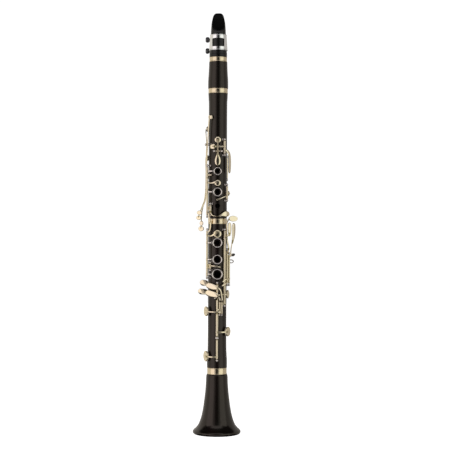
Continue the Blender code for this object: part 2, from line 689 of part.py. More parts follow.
def make_side_keys():
    facing = Vector((-0.5, -0.866, 0.0)).normalized()
    for name, axis, offset, stops, place, length, width in SIDE_KEYS:
        hinge = cross_tube(axis, offset - SIDE_TUBE_HALF, offset + SIDE_TUBE_HALF)
        plate = touch(Vector(place) * MM, facing, length, width, 1.8)
        part(name, "key_metal", [cup_with_pad(name), bar(stops, 2.2), hinge, plate], origin=at(*axis[:3]))


def ring_arm(rod_angle, height, outer):
    """Arm from a left-hand rod to the near edge of a front finger ring."""
    middle = RING_FACE + RING_THICK * 0.5
    edge = -math.degrees(math.atan2(outer, middle))
    return bar([(rod_angle, ROD_HIGH, height, 2.6), (rod_angle * 0.75, 19.8, height, 2.2),
                (edge, math.hypot(outer, middle), height, 3.4)], 2.4)


def make_first_ring_key():
    z, outer, inner = FIRST_RING
    ring = hoop(0.0, RING_FACE, z, outer, inner, RING_THICK)
    tab = bar([(LEFT_ROD, ROD_HIGH, 408.6), (-30.0, 18.6, 408.6)], 1.8)
    hinge = tube(LEFT_ROD, ROD_HIGH, 405.0, 421.0)
    part("first_ring_key", "key_metal", [hinge, ring_arm(LEFT_ROD, z, (outer + inner) * 0.5), tab, ring],
         origin=at(LEFT_ROD, ROD_HIGH, z))


def make_second_ring_key():
    name = "second_ring_key"
    z, outer, inner = SECOND_RING
    ring = hoop(0.0, RING_FACE, z, outer, inner, RING_THICK)
    arm = ring_arm(LEFT_ROD, z, (outer + inner) * 0.5)
    pad_arm = bar([(LEFT_ROD, ROD_HIGH, 397.5), (-32.0, 20.2, 397.0), (-14.0, 21.2, 397.0),
                   (0.0, 21.3, 396.0)], 2.4)
    bridge = bar([(LEFT_ROD, ROD_HIGH, 349.0), (-44.0, 21.0, 348.6), (-39.5, 21.4, 345.0, 2.8),
                  (-39.5, 20.2, 333.5, 2.8)], 2.6)
    hinge = tube(LEFT_ROD, ROD_HIGH, 345.4, 404.6)
    part(name, "key_metal", [hinge, cup_with_pad(name), pad_arm, arm, ring, bridge],
         origin=at(LEFT_ROD, ROD_HIGH, z))


def make_upper_e_flat_key():
    name = "upper_e_flat_key"
    finger = bar([(SLIVER_ROD, ROD_LOW, 376.0), (30.0, 18.6, 373.6), (12.0, 18.4, 371.0),
                  (-5.0, 18.2, 369.3)], 2.2)
    arm = bar([(SLIVER_ROD, ROD_LOW, 380.0), (66.0, 20.0, 380.0), (88.0, 19.0, 380.0)], 2.2)
    part(name, "key_metal", [tube(SLIVER_ROD, ROD_LOW, 370.8, 391.0), cup_with_pad(name), finger, arm],
         origin=at(SLIVER_ROD, ROD_LOW, 380.0))


def make_c_sharp_key():
    name = "c_sharp_g_sharp_key"
    finger = bar([(C_SHARP_ROD, ROD_LOW, 351.2), (-28.0, 19.4, 349.0), (-22.0, 19.4, 345.4),
                  (-12.0, 19.4, 344.0),
                  (12.0, 19.4, 344.2), (24.0, 19.8, 345.6, 5.0), (38.0, 20.2, 346.6, 8.0),
                  (52.0, 20.6, 346.8, 7.4), (62.0, 20.8, 346.4, 3.4)], 1.9)
    arm = bar([(C_SHARP_ROD, 18.0, 356.0), (-51.0, 17.2, 356.0)], 2.2, TAB_THICK)
    part(name, "key_metal", [tube(C_SHARP_ROD, ROD_LOW, 347.2, 361.0), cup_with_pad(name), finger, arm],
         origin=at(C_SHARP_ROD, ROD_LOW, 356.0))


def make_lower_ring_key():
    name = "lower_ring_key"
    solids = [tube(LOWER_LEFT_ROD, ROD_HIGH, 248.9, 320.4), cup_with_pad(name)]
    solids += [bar([(LOWER_LEFT_ROD, ROD_HIGH, 313.5), (-32.0, 20.4, 313.0), (-14.0, 21.2, 314.6),
                    (0.0, 21.3, 316.0)], 2.4)]
    for z, outer, inner in LOWER_RINGS:
        solids += [ring_arm(LOWER_LEFT_ROD, z, (outer + inner) * 0.5)]
        solids += [hoop(0.0, RING_FACE, z, outer, inner, RING_THICK)]
    solids += [bar([(LOWER_LEFT_ROD, ROD_HIGH, 318.4), (-43.5, 18.8, 319.6), (-39.5, 17.6, 325.0, 2.8),
                    (-39.5, 17.3, 336.5, 2.8)], 2.6, THIN_BAR)]
    part(name, "key_metal", solids, origin=at(LOWER_LEFT_ROD, ROD_HIGH, 275.7))


def make_fork_key():
    name = "fork_key"
    finger = bar([(FORK_ROD, ROD_LOW, 265.6), (-14.0, 18.6, 265.2), (15.0, 18.2, 264.2)], 2.2)
    arm = bar([(FORK_ROD, 18.0, 265.0), (-60.0, 17.2, 265.0)], 2.2, TAB_THICK)
    part(name, "key_metal", [tube(FORK_ROD, ROD_LOW, 261.2, 268.8), cup_with_pad(name), finger, arm],
         origin=at(FORK_ROD, ROD_LOW, 265.0))


def make_a_flat_key():
    name = "a_flat_e_flat_key"
    stem = bar([(MAIN_ROD, ROD_LOW, 234.4), (-14.0, 18.6, 235.0), (-38.0, 18.6, 237.4),
                (-46.0, 19.5, 238.6, 5.0), (-52.0, 21.6, 238.8, 8.0), (-60.0, 25.0, 239.0, 8.8),
                (-68.9, 29.2, 239.2, 6.0)], 2.4, THIN_BAR)
    arm = bar([(MAIN_ROD, ROD_LOW, 219.4), (14.0, 18.0, 220.4), (25.0, 18.2, 220.7), (32.0, 21.4, 220.7),
               (48.0, 21.6, 220.7), (62.0, 20.0, 220.7), (76.0, 19.0, 220.7)], 2.2, THIN_BAR)
    part(name, "key_metal", [tube(MAIN_ROD, ROD_LOW, 217.2, 236.7), cup_with_pad(name), stem, arm],
         origin=at(MAIN_ROD, ROD_LOW, 226.0))


def make_f_sharp_key():
    name = "f_sharp_c_sharp_key"
    plate = bar([(2.0, 24.6, 230.6, 6.0), (-12.0, 22.9, 232.4, 8.4), (-30.0, 22.8, 234.0, 9.0),
                 (-45.0, 24.5, 235.4, 6.0)], 8.0)
    stem = bar([(-4.0, 23.5, 232.0, 4.0), (8.0, 23.0, 230.5), (16.0, 21.8, 226.5), (20.0, 21.6, 216.5),
                (F_SHARP_ROD, 20.9, 211.5), (F_SHARP_ROD, 18.8, 208.5)], 2.0, THIN_BAR)
    arm = bar([(F_SHARP_ROD, ROD_LOW, 193.4), (14.0, 21.8, 193.4), (-8.0, 22.2, 193.4),
               (-40.0, 22.2, 193.6),
               (-66.0, 21.4, 193.7)], 2.2, THIN_BAR)
    tab = bar([(F_SHARP_ROD, ROD_LOW, 205.8), (31.0, 19.9, 205.8)], 2.2, TAB_THICK)
    hinge = tube(F_SHARP_ROD, ROD_LOW, 190.4, 212.6, SLIM_TUBE)
    part(name, "key_metal", [hinge, cup_with_pad(name), arm, stem, plate, tab],
         origin=at(F_SHARP_ROD, ROD_LOW, 200.0))


def make_f_c_touch():
    plate = [(-53.0, 21.2, 225.0, 7.6), (-60.0, 25.2, 225.0, 8.6), (-67.0, 29.2, 225.0, 8.4),
             (-71.4, 31.8, 224.6, 4.6)]
    stem = bar([(F_ROD, 18.8, 209.0), (F_ROD, 21.0, 212.0), (8.0, 21.4, 215.5), (-2.0, 21.4, 220.6),
                (-12.0, 20.9, 223.4), (-22.0, 19.7, 224.6), (-40.0, 19.0, 225.0),
                (-47.0, 19.2, 225.0, 4.2),
                *plate], 2.0, THIN_BAR)
    hinge = tube(F_ROD, ROD_LOW, 190.4, 212.6, SLIM_TUBE)
    tab = bar([(F_ROD, ROD_LOW, 197.0), (6.0, 20.9, 197.0, 2.2), (-3.0, 21.3, 197.0)], 2.0, TAB_THICK)
    part("f_c_touch_lever", "key_metal", [hinge, stem, tab], origin=at(F_ROD, ROD_LOW, 200.0))


def make_f_c_key():
    name = "f_c_key"
    arm = bar([(MAIN_ROD, ROD_LOW + 0.6, 161.5), (20.0, 20.6, 161.5), (40.0, 21.4, 161.8),
               (62.0, 21.2, 162.0)], 2.4)
    collar = rod(at(MAIN_ROD, ROD_LOW, 155.0), at(MAIN_ROD, ROD_LOW, 158.0), 2.3)
    bore = rod(at(MAIN_ROD, ROD_LOW, 150.0), at(MAIN_ROD, ROD_LOW, 196.0), 1.35)
    hinge = tube(MAIN_ROD, ROD_LOW, 155.4, 190.4, 1.85)
    part(name, "key_metal", [hinge, collar, cup_with_pad(name), arm], [bore],
         origin=at(MAIN_ROD, ROD_LOW, 162.0))


def make_e_b_key():
    name = "e_b_key"
    thin = tube(MAIN_ROD, ROD_LOW, 148.0, 193.0, 0.95)
    low_tube = tube(MAIN_ROD, ROD_LOW, 119.3, 150.0)
    high_tube = tube(MAIN_ROD, ROD_LOW, 191.2, 214.9)
    arm = bar([(MAIN_ROD, ROD_LOW, 122.6), (-20.0, 20.8, 122.6), (-44.0, 21.4, 122.8),
               (-66.0, 21.2, 123.0)], 2.4)
    neck = bar([(MAIN_ROD, 18.8, 212.4, 3.0), (-7.0, 21.8, 214.4, 4.0), (-7.0, 23.5, 217.0, 6.0)], 3.0)
    plate = bar([(4.5, 25.2, 219.2, 5.0), (-10.0, 23.5, 220.6, 8.6), (-30.0, 23.1, 222.3, 9.4),
                 (-47.0, 25.0, 223.9, 6.0)], 8.0)
    part(name, "key_metal", [thin, low_tube, high_tube, cup_with_pad(name), arm, neck, plate],
         origin=at(MAIN_ROD, ROD_LOW, 122.6))


def make_left_hand_levers():
    """Each lever: its tube, bars that face outward, and broad blades that face nearer the front."""
    first, second, third = LH_RODS
    levers = [
        ("lh_f_sharp_c_sharp_lever", first, [
            [(first[0], first[1], 309.0), (41.5, 21.8, 311.5), (50.0, 23.1, 314.5, 3.6),
             (54.5, 23.3, 317.0, 3.6)],
            [(first[0], first[1], 207.0), (31.0, 17.6, 207.0), (27.5, 17.3, 207.0)]],
         30.0, [(54.5, 23.3, 314.5, 3.2), (54.5, 23.3, 319.5, 6.2), (54.5, 23.3, 328.5, 6.2),
                (54.5, 23.1, 333.4, 3.4)]),
        ("lh_e_b_lever", second, [
            [(second[0], 19.8, 285.0), (second[0], 22.1, 287.5), (second[0], 22.1, 293.5)],
            [(50.0, 19.6, 307.0), (48.5, 19.4, 312.0), (48.5, 19.4, 328.0), (45.0, 20.6, 333.0),
             (45.0, 23.2, 337.4), (50.0, 24.6, 339.8)],
            [(second[0], second[1], 240.6), (47.5, 21.4, 240.0), (32.0, 21.6, 236.6),
             (20.0, 21.6, 234.2)]],
         30.0, [(second[0], 22.1, 290.5, 2.6), (53.0, 21.7, 296.0, 3.0), (51.5, 20.4, 301.5, 2.8),
                (50.0, 19.6, 309.5, 2.2)]),
        ("lh_f_c_lever", third, [
            [(third[0], 20.2, 279.0), (third[0], 22.5, 281.5), (third[0], 22.5, 290.0),
             (71.0, 23.6, 298.0),
             (73.0, 25.0, 306.5)],
            [(third[0], third[1], 245.4), (65.0, 22.2, 245.4), (50.0, 22.4, 245.2), (36.0, 22.2, 244.6),
             (22.0, 22.0, 240.4)]],
         42.0, [(73.0, 25.0, 303.5, 2.4), (75.0, 26.2, 312.0, 6.0), (75.5, 26.5, 324.0, 7.0),
                (75.5, 26.5, 332.6, 4.6)]),
    ]
    for name, (angle, reach, bottom, top), bars, facing, blade in levers:
        solids = [tube(angle, reach, bottom, top)] + [bar(stops, 2.2) for stops in bars]
        solids += [bar(blade, 2.2, facing=facing)]
        if name == "lh_e_b_lever":
            across = Vector((0.35, -0.93, 0.1)).normalized()
            solids += [touch(Vector((24.6, -13.4, 340.0)) * MM, across, 15.2, 9.0, 1.6)]
        part(name, "key_metal", solids, origin=at(angle, reach, (bottom + top) * 0.5))


def main():
    for leftover in list(bpy.data.objects):
        bpy.data.objects.remove(leftover)
    make_mouthpiece()
    make_reed()
    make_ligature()
    make_barrel()
    make_upper_joint()
    make_lower_joint()
    make_bell()
    make_thumb_rest()
    make_register_key()
    make_thumb_ring_key()
    make_a_key()
    make_g_sharp_key()
    make_side_keys()
    make_first_ring_key()
    make_second_ring_key()
    make_upper_e_flat_key()
    make_c_sharp_key()
    make_lower_ring_key()
    make_fork_key()
    make_a_flat_key()
    make_f_sharp_key()
    make_f_c_touch()
    make_f_c_key()
    make_e_b_key()
    make_left_hand_levers()


main()
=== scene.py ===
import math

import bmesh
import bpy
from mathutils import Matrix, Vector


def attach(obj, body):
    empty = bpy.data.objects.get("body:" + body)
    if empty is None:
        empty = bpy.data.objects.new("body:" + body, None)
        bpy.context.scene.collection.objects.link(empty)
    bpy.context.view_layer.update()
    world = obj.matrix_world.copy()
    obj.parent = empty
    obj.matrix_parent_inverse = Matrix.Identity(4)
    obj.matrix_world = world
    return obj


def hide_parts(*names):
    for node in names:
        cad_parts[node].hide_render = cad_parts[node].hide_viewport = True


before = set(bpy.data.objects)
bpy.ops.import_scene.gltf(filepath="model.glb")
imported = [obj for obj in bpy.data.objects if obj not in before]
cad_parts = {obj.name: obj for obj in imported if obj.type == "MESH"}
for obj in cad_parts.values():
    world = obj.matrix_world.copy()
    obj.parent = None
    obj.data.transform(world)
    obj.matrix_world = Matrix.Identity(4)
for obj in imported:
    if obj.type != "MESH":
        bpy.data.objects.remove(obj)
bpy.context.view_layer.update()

# Straight Boehm-system clarinet: blackwood body, pale gold plated keywork, silver ligature.
# Z runs up the bore, the finger holes face the front, -Y. A place on the keywork is given by its angle
# round the body (0 at the front, positive towards +X), its distance from the bore axis and its height,
# in degrees and millimetres.

MM = 0.001
TAU = 2.0 * math.pi

# Heights where the parts of the body meet
BELL_TOP = 104.6
LOWER_JOINT_FOOT = 104.9
LOWER_JOINT_TOP = 340.0
UPPER_JOINT_FOOT = 340.3
UPPER_JOINT_TOP = 537.7
BARREL_FOOT = 538.0
BARREL_TOP = 595.2

# Radii of the body, and of the seats of its plated rings
WOOD = 14.7
BORE = 7.4
SOCKET = 12.0
TENON = 11.2
CORK = 11.7
BELL_SEAT = 14.4
LOWER_JOINT_SEAT = 14.0
BARREL_LOWER_SEAT = 14.4
BARREL_UPPER_SEAT = 13.0
GAP = 0.3

# Keywork: distances out from the bore axis, radii of tubes and balls, and thicknesses
PAD_FACE = 15.1
PAD_THICK = 1.4
CUP_FACE = 16.8
CUP_THICK = 2.2
LOW_CUP = 1.5
STANDING_OPEN = 2.3
ROD_LOW = 18.6
ROD_HIGH = 20.6
TUBE = 1.6
SLIM_TUBE = 1.25
F_KEY_TUBE = 1.85
INNER_ROD = 0.95
BALL = 1.9
SMALL_BALL = 1.45
BORED_BALL = 2.7
RING_FACE = 16.6
RING_THICK = 1.5
CHIMNEY_TOP = 16.7
BAR_THICK = 1.4
PLATE_THICK = 1.8

# Sides of turned shapes on the bore axis, of cups and plates, and of tubes and posts; points round a bar
TURNED_SIDES = 96
BODY_SIDES = 128
ROUND_SIDES = 40
ROD_SIDES = 28
BAR_POINTS = 14

ORIGIN = Vector((0.0, 0.0, 0.0))
UP = Vector((0.0, 0.0, 1.0))


# ---- places -------------------------------------------------------------------------------------


def outward(angle):
    """Unit vector away from the bore axis."""
    turn = math.radians(angle)
    return Vector((math.sin(turn), -math.cos(turn), 0.0))


def at(angle, radius, height):
    """World point, in metres, from angle in degrees and millimetres."""
    return (outward(angle) * radius + UP * height) * MM


def angle_of(side, radius):
    """Angle of a rod whose centre line is `side` millimetres to the +X side of the bore axis."""
    return math.degrees(math.asin(side / radius))


def between(low, high, share):
    return low + (high - low) * share


def radius_on(outline, height, beyond):
    """Radius at a height on an outline of (radius, height) pairs; `beyond` is the radius off its ends."""
    for (low_r, low_z), (high_r, high_z) in zip(outline, outline[1:]):
        if low_z <= height <= high_z:
            return between(low_r, high_r, (height - low_z) / (high_z - low_z))
    return beyond


def boxy(phase, exponent):
    """Point of a closed curve within 1 of its middle: exponent 1 is a circle, and a lower one is boxier."""
    cos, sin = math.cos(phase), math.sin(phase)
    return math.copysign(abs(cos) ** exponent, cos), math.copysign(abs(sin) ** exponent, sin)


# ---- closed surfaces ----------------------------------------------------------------------------


def axes_for(normal):
    """Two unit vectors square to the normal; the first is level where it can be."""
    across = UP.cross(normal)
    if across.length < 1e-6:
        across = Vector((1.0, 0.0, 0.0))
    across.normalize()
    return across, normal.cross(across).normalized()


def rounded(outline, size, steps=4, closed=False):
    """The outline with each corner eased by a small curve."""
    count = len(outline)
    made = []
    for i, (x, y) in enumerate(outline):
        if not closed and i in (0, count - 1):
            made.append((x, y))
            continue
        before = outline[i - 1]
        after = outline[(i + 1) % count]
        to_before = math.hypot(before[0] - x, before[1] - y)
        to_after = math.hypot(after[0] - x, after[1] - y)
        ease = min(size, to_before * 0.45, to_after * 0.45)
        start = (x + (before[0] - x) * ease / to_before, y + (before[1] - y) * ease / to_before)
        end = (x + (after[0] - x) * ease / to_after, y + (after[1] - y) * ease / to_after)
        for k in range(steps + 1):
            t = k / steps
            a, b, c = (1 - t) * (1 - t), 2 * t * (1 - t), t * t
            made.append((a * start[0] + b * x + c * end[0], a * start[1] + b * y + c * end[1]))
    return made


def spline(t, a, b, c, d):
    """Value at `t`, from 0 to 1, on the smooth curve between b and c, with their neighbours a and d."""
    square = 2 * a - 5 * b + 4 * c - d
    cube = 3 * b - a - 3 * c + d
    return 0.5 * (2 * b + (c - a) * t + square * t * t + cube * t ** 3)


def flowing(points, steps=6):
    """Smooth curve of pairs through the given pairs."""
    made = []
    last = len(points) - 1
    for i in range(last):
        near = (points[max(i - 1, 0)], points[i], points[i + 1], points[min(i + 2, last)])
        for k in range(steps):
            made.append(tuple(spline(k / steps, *values) for values in zip(*near)))
    made.append(tuple(points[-1]))
    return made


class Shell:
    """Closed surfaces gathered into one mesh. Faces made while `silvery` is set take the second material."""

    def __init__(self):
        self.mesh = bmesh.new()
        self.silvery = False

    def skin(self, sections, ring=False):
        """Surface through loops of points; a loop of one point is a pole. A ring has no ends."""
        rows = [[self.mesh.verts.new(point) for point in section] for section in sections]
        made = []
        pairs = list(zip(rows, rows[1:]))
        if ring:
            pairs.append((rows[-1], rows[0]))
        for low, high in pairs:
            count = max(len(low), len(high))
            for i in range(count):
                j = (i + 1) % count
                corners = []
                for corner in (low[i % len(low)], low[j % len(low)], high[j % len(high)],
                               high[i % len(high)]):
                    if corner not in corners:
                        corners.append(corner)
                made.append(self.mesh.faces.new(corners))
        if not ring:
            for row in (rows[0], rows[-1]):
                if len(row) > 2:
                    made.append(self.mesh.faces.new(row))
        for face in made:
            face.material_index = int(self.silvery)

    def turn(self, outline, centre, axis, sides=ROUND_SIDES, ring=False, stretch=1.0, knurl=0.0, ridges=0):
        """Turned surface from (radius, distance along the axis) pairs.

        `stretch` scales its second radius, and `knurl` is the depth of `ridges` grooves round its wide parts.
        """
        along, up = axes_for(axis)
        sections = []
        for radius, height in outline:
            middle = centre + axis * height * MM
            if radius < 1e-6:
                sections.append([middle])
                continue
            groove = knurl if radius > knurl * 12.0 else 0.0
            section = []
            for i in range(sides):
                phase = TAU * (i + 0.5) / sides
                reach = radius - groove * (0.5 + 0.5 * math.cos(ridges * phase))
                way = along * math.cos(phase) + up * math.sin(phase) * stretch
                section.append(middle + way * reach * MM)
            sections.append(section)
        self.skin(sections, ring)

    def upright(self, outline, sides=TURNED_SIDES, ring=True):
        """Turned surface about the bore axis."""
        self.turn(outline, ORIGIN, UP, sides, ring)

    def prism(self, outline, near, far, along_x=False):
        """An (x, z) outline run along y, or a (y, z) outline run along x."""
        self.skin([[Vector((reach, side, z) if along_x else (side, reach, z)) * MM for side, z in outline]
                   for reach in (near, far)])

    def bar(self, stops, width, thick=BAR_THICK, ridge=0.0, facing=None, power=3.0, ends=(True, True),
            spacing=1.4):
        """Bar through places (angle, radius, height[, width[, thick]]), bent smoothly, its edges rounded.

        It faces outward, or to one given angle. `ridge` crowns its face, and `ends` says which are round.
        """
        full = []
        for stop in stops:
            wide = stop[3] if len(stop) > 3 else width
            tall = stop[4] if len(stop) > 4 else thick
            full.append((stop[0], stop[1], stop[2], wide, tall))
        for _ in range(3):
            eased = [full[0]]
            for a, b in zip(full, full[1:]):
                eased.append(tuple(between(p, q, 0.25) for p, q in zip(a, b)))
                eased.append(tuple(between(p, q, 0.75) for p, q in zip(a, b)))
            eased.append(full[-1])
            full = eased
        reach = [0.0]
        for a, b in zip(full, full[1:]):
            reach.append(reach[-1] + (at(*b[:3]) - at(*a[:3])).length / MM)
        total = reach[-1]
        blunt = (full[0][3] * 0.5, full[-1][3] * 0.5)
        tip = (0.0, 0.06, 0.2, 0.42, 0.7)
        marks = [blunt[0] * share for share in tip] if ends[0] else [0.0]
        low, high = (blunt[0] if ends[0] else spacing), total - (blunt[1] if ends[1] else spacing)
        count = max(2, int((high - low) / spacing))
        marks += [between(low, high, i / count) for i in range(count + 1)]
        marks += [total - blunt[1] * share for share in reversed(tip)] if ends[1] else [total]
        marks = [mark for i, mark in enumerate(marks) if i == 0 or mark > marks[i - 1] + 1e-4]
        stations = []
        for mark in marks:
            k = 0
            while k < len(reach) - 2 and reach[k + 1] < mark:
                k += 1
            share = min(1.0, max(0.0, (mark - reach[k]) / max(reach[k + 1] - reach[k], 1e-9)))
            stations.append(tuple(between(p, q, share) for p, q in zip(full[k], full[k + 1])))
        places = [at(*station[:3]) for station in stations]
        sections = []
        for i, (place, station) in enumerate(zip(places, stations)):
            way = (places[min(i + 1, len(places) - 1)] - places[max(i - 1, 0)]).normalized()
            up = outward(station[0] if facing is None else facing)
            up = (up - way * up.dot(way)).normalized()
            side = way.cross(up).normalized()
            wide, tall = station[3] * 0.5, station[4] * 0.5
            for flag, distance, half in ((ends[0], marks[i], blunt[0]),
                                         (ends[1], total - marks[i], blunt[1])):
                if flag and distance < half:
                    full_width = math.sqrt(max(0.0, 1.0 - (1.0 - distance / half) ** 2))
                    wide *= max(full_width, 0.1)
                    tall *= 0.45 + 0.55 * full_width
            section = []
            for k in range(BAR_POINTS):
                x, y = boxy(TAU * k / BAR_POINTS, 2.0 / power)
                lift = ridge * max(0.0, y) * (1.0 - abs(x)) if ridge else 0.0
                section.append(place + (side * x * wide + up * (y * tall + lift)) * MM)
            sections.append(section)
        self.skin(sections)

    def tube(self, angle, reach, low, high, radius=TUBE, collars=()):
        """Hinge tube along the body, with a bead at each end and at the heights in `collars`."""
        bead = radius + 0.22
        outline = [(0.0, low), (bead, low), (bead, low + 0.9), (radius, low + 1.2)]
        for height in sorted(collars):
            outline += [(radius, height - 1.5), (bead, height - 1.25), (bead, height + 1.25),
                        (radius, height + 1.5)]
        outline += [(radius, high - 1.2), (bead, high - 0.9), (bead, high), (0.0, high)]
        self.turn(rounded(outline, 0.14, 3), at(angle, reach, 0.0), UP, ROD_SIDES)

    def cross_tube(self, axis, low, high, radius=1.3):
        """Hinge tube across the body on a see-saw axis, between two offsets from its middle."""
        angle, reach, height = axis[:3]
        bead = radius + 0.15
        outline = [(0.0, low), (bead, low), (bead, low + 0.5), (radius, low + 0.7), (radius, high - 0.7),
                   (bead, high - 0.5), (bead, high), (0.0, high)]
        self.turn(rounded(outline, 0.12, 3), at(angle, reach, height), outward(angle + 90.0), ROD_SIDES)

    def cup(self, angle, face, height, radius, deep):
        """Padded key cup: a turned wall with a step, and a domed top."""
        dome = [(radius * math.sin(t), face + deep * (0.3 + 0.7 * math.cos(t)))
                for t in (math.radians(a) for a in (72, 60, 48, 36, 24, 12))]
        outline = [(0.0, face), (radius, face), (radius, face + deep * 0.3),
                   (radius * 0.985, face + deep * 0.42)]
        outline = rounded([*outline, *dome, (0.0, face + deep)], 0.16, 3)
        self.turn(outline, at(angle, 0.0, height), outward(angle), ROUND_SIDES)

    def hoop(self, angle, low, height, outer, inner, thick):
        """Finger ring with rounded edges, slightly dished towards its hole."""
        outline = [(inner, low), (outer, low), (outer, low + thick * 0.8),
                   (between(inner, outer, 0.6), low + thick),
                   (inner, low + thick * 0.72)]
        self.turn(rounded(outline, 0.42, 4, True), at(angle, 0.0, height), outward(angle), 56, True)

    def plate(self, centre, normal, length, width, crown=0.25):
        """Oval finger plate with rounded edges and a crowned face."""
        half, top = length * 0.5, PLATE_THICK * 0.5
        outline = [(0.0, -top), (half, -top), (half, top), (half * 0.6, top + crown * 0.7),
                   (0.0, top + crown)]
        self.turn(rounded(outline, PLATE_THICK * 0.42, 4), centre, normal, ROUND_SIDES,
                  stretch=width / length)

    def peg(self, start, end, radius, sides=20, ease=0.2):
        """Plain round rod with eased ends."""
        axis = end - start
        length = axis.length / MM
        outline = rounded([(0.0, 0.0), (radius, 0.0), (radius, length), (0.0, length)], ease, 3)
        self.turn(outline, start, axis.normalized(), sides)

    def needle(self, start, end, thick, thin):
        """Fine rod that tapers to a point."""
        axis = end - start
        length = axis.length / MM
        self.turn([(0.0, 0.0), (thick, 0.0), (thin, length - thin), (0.0, length)], start, axis.normalized(),
                  8)

    def post(self, angle, reach, height, bead=BALL):
        """Turned post from the wood out to its ball."""
        ground = wood_radius(height)
        foot = bead * 0.98
        outline = [(0.0, ground - 1.5), (foot, ground - 1.5), (foot, ground + 0.25),
                   (foot * 0.86, ground + 0.55),
                   (bead * 0.56, ground + 1.0)]
        neck = reach - bead * 0.86
        if neck > ground + 1.2:
            outline.append((bead * 0.52, neck))
        for turn in range(-50, 91, 14):
            t = math.radians(turn)
            outline.append((bead * math.cos(t), reach + bead * math.sin(t)))
        outline[-1] = (0.0, reach + bead)
        self.turn(outline, at(angle, 0.0, height), outward(angle), ROD_SIDES)


def cut(shell, cutters):
    """The shell's mesh less the cutters', worked out once and kept as plain mesh."""
    base = raw_object("base", shell.mesh)
    tool = raw_object("tool", cutters.mesh)
    modifier = base.modifiers.new("cut", "BOOLEAN")
    modifier.operation = "DIFFERENCE"
    modifier.solver = "EXACT"
    modifier.object = tool
    graph = bpy.context.evaluated_depsgraph_get()
    result = bpy.data.meshes.new_from_object(base.evaluated_get(graph))
    made = Shell()
    made.mesh.from_mesh(result)
    bmesh.ops.remove_doubles(made.mesh, verts=made.mesh.verts, dist=1e-7)
    bpy.data.objects.remove(base)
    bpy.data.objects.remove(tool)
    bpy.data.meshes.remove(result)
    return made


def raw_object(name, mesh_data):
    """Object from a bmesh, with its faces turned outward."""
    bmesh.ops.recalc_face_normals(mesh_data, faces=mesh_data.faces)
    mesh = bpy.data.meshes.new(name)
    mesh_data.to_mesh(mesh)
    mesh_data.free()
    made = bpy.data.objects.new(name, mesh)
    bpy.context.scene.collection.objects.link(made)
    return made


def piece(name, shell, look, body, replaced=(), sharp=32.0, silvery=None):
    """Finish a shell as a named piece that rides on a body and stands for some CAD nodes.

    `sharp` is the angle over which an edge stays sharp, and `silvery` the look of the shell's silvery faces.
    """
    made = raw_object(name, shell.mesh)
    made.data.materials.append(LOOKS[look])
    if silvery is not None:
        made.data.materials.append(LOOKS[silvery])
    made.data.shade_smooth()
    made.data.set_sharp_from_angle(angle=math.radians(sharp))
    weighted = made.modifiers.new("weighted", "WEIGHTED_NORMAL")
    weighted.keep_sharp = True
    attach(made, body)
    if replaced:
        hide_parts(*replaced)
    return made


# ---- materials ------------------------------------------------------------------------------------


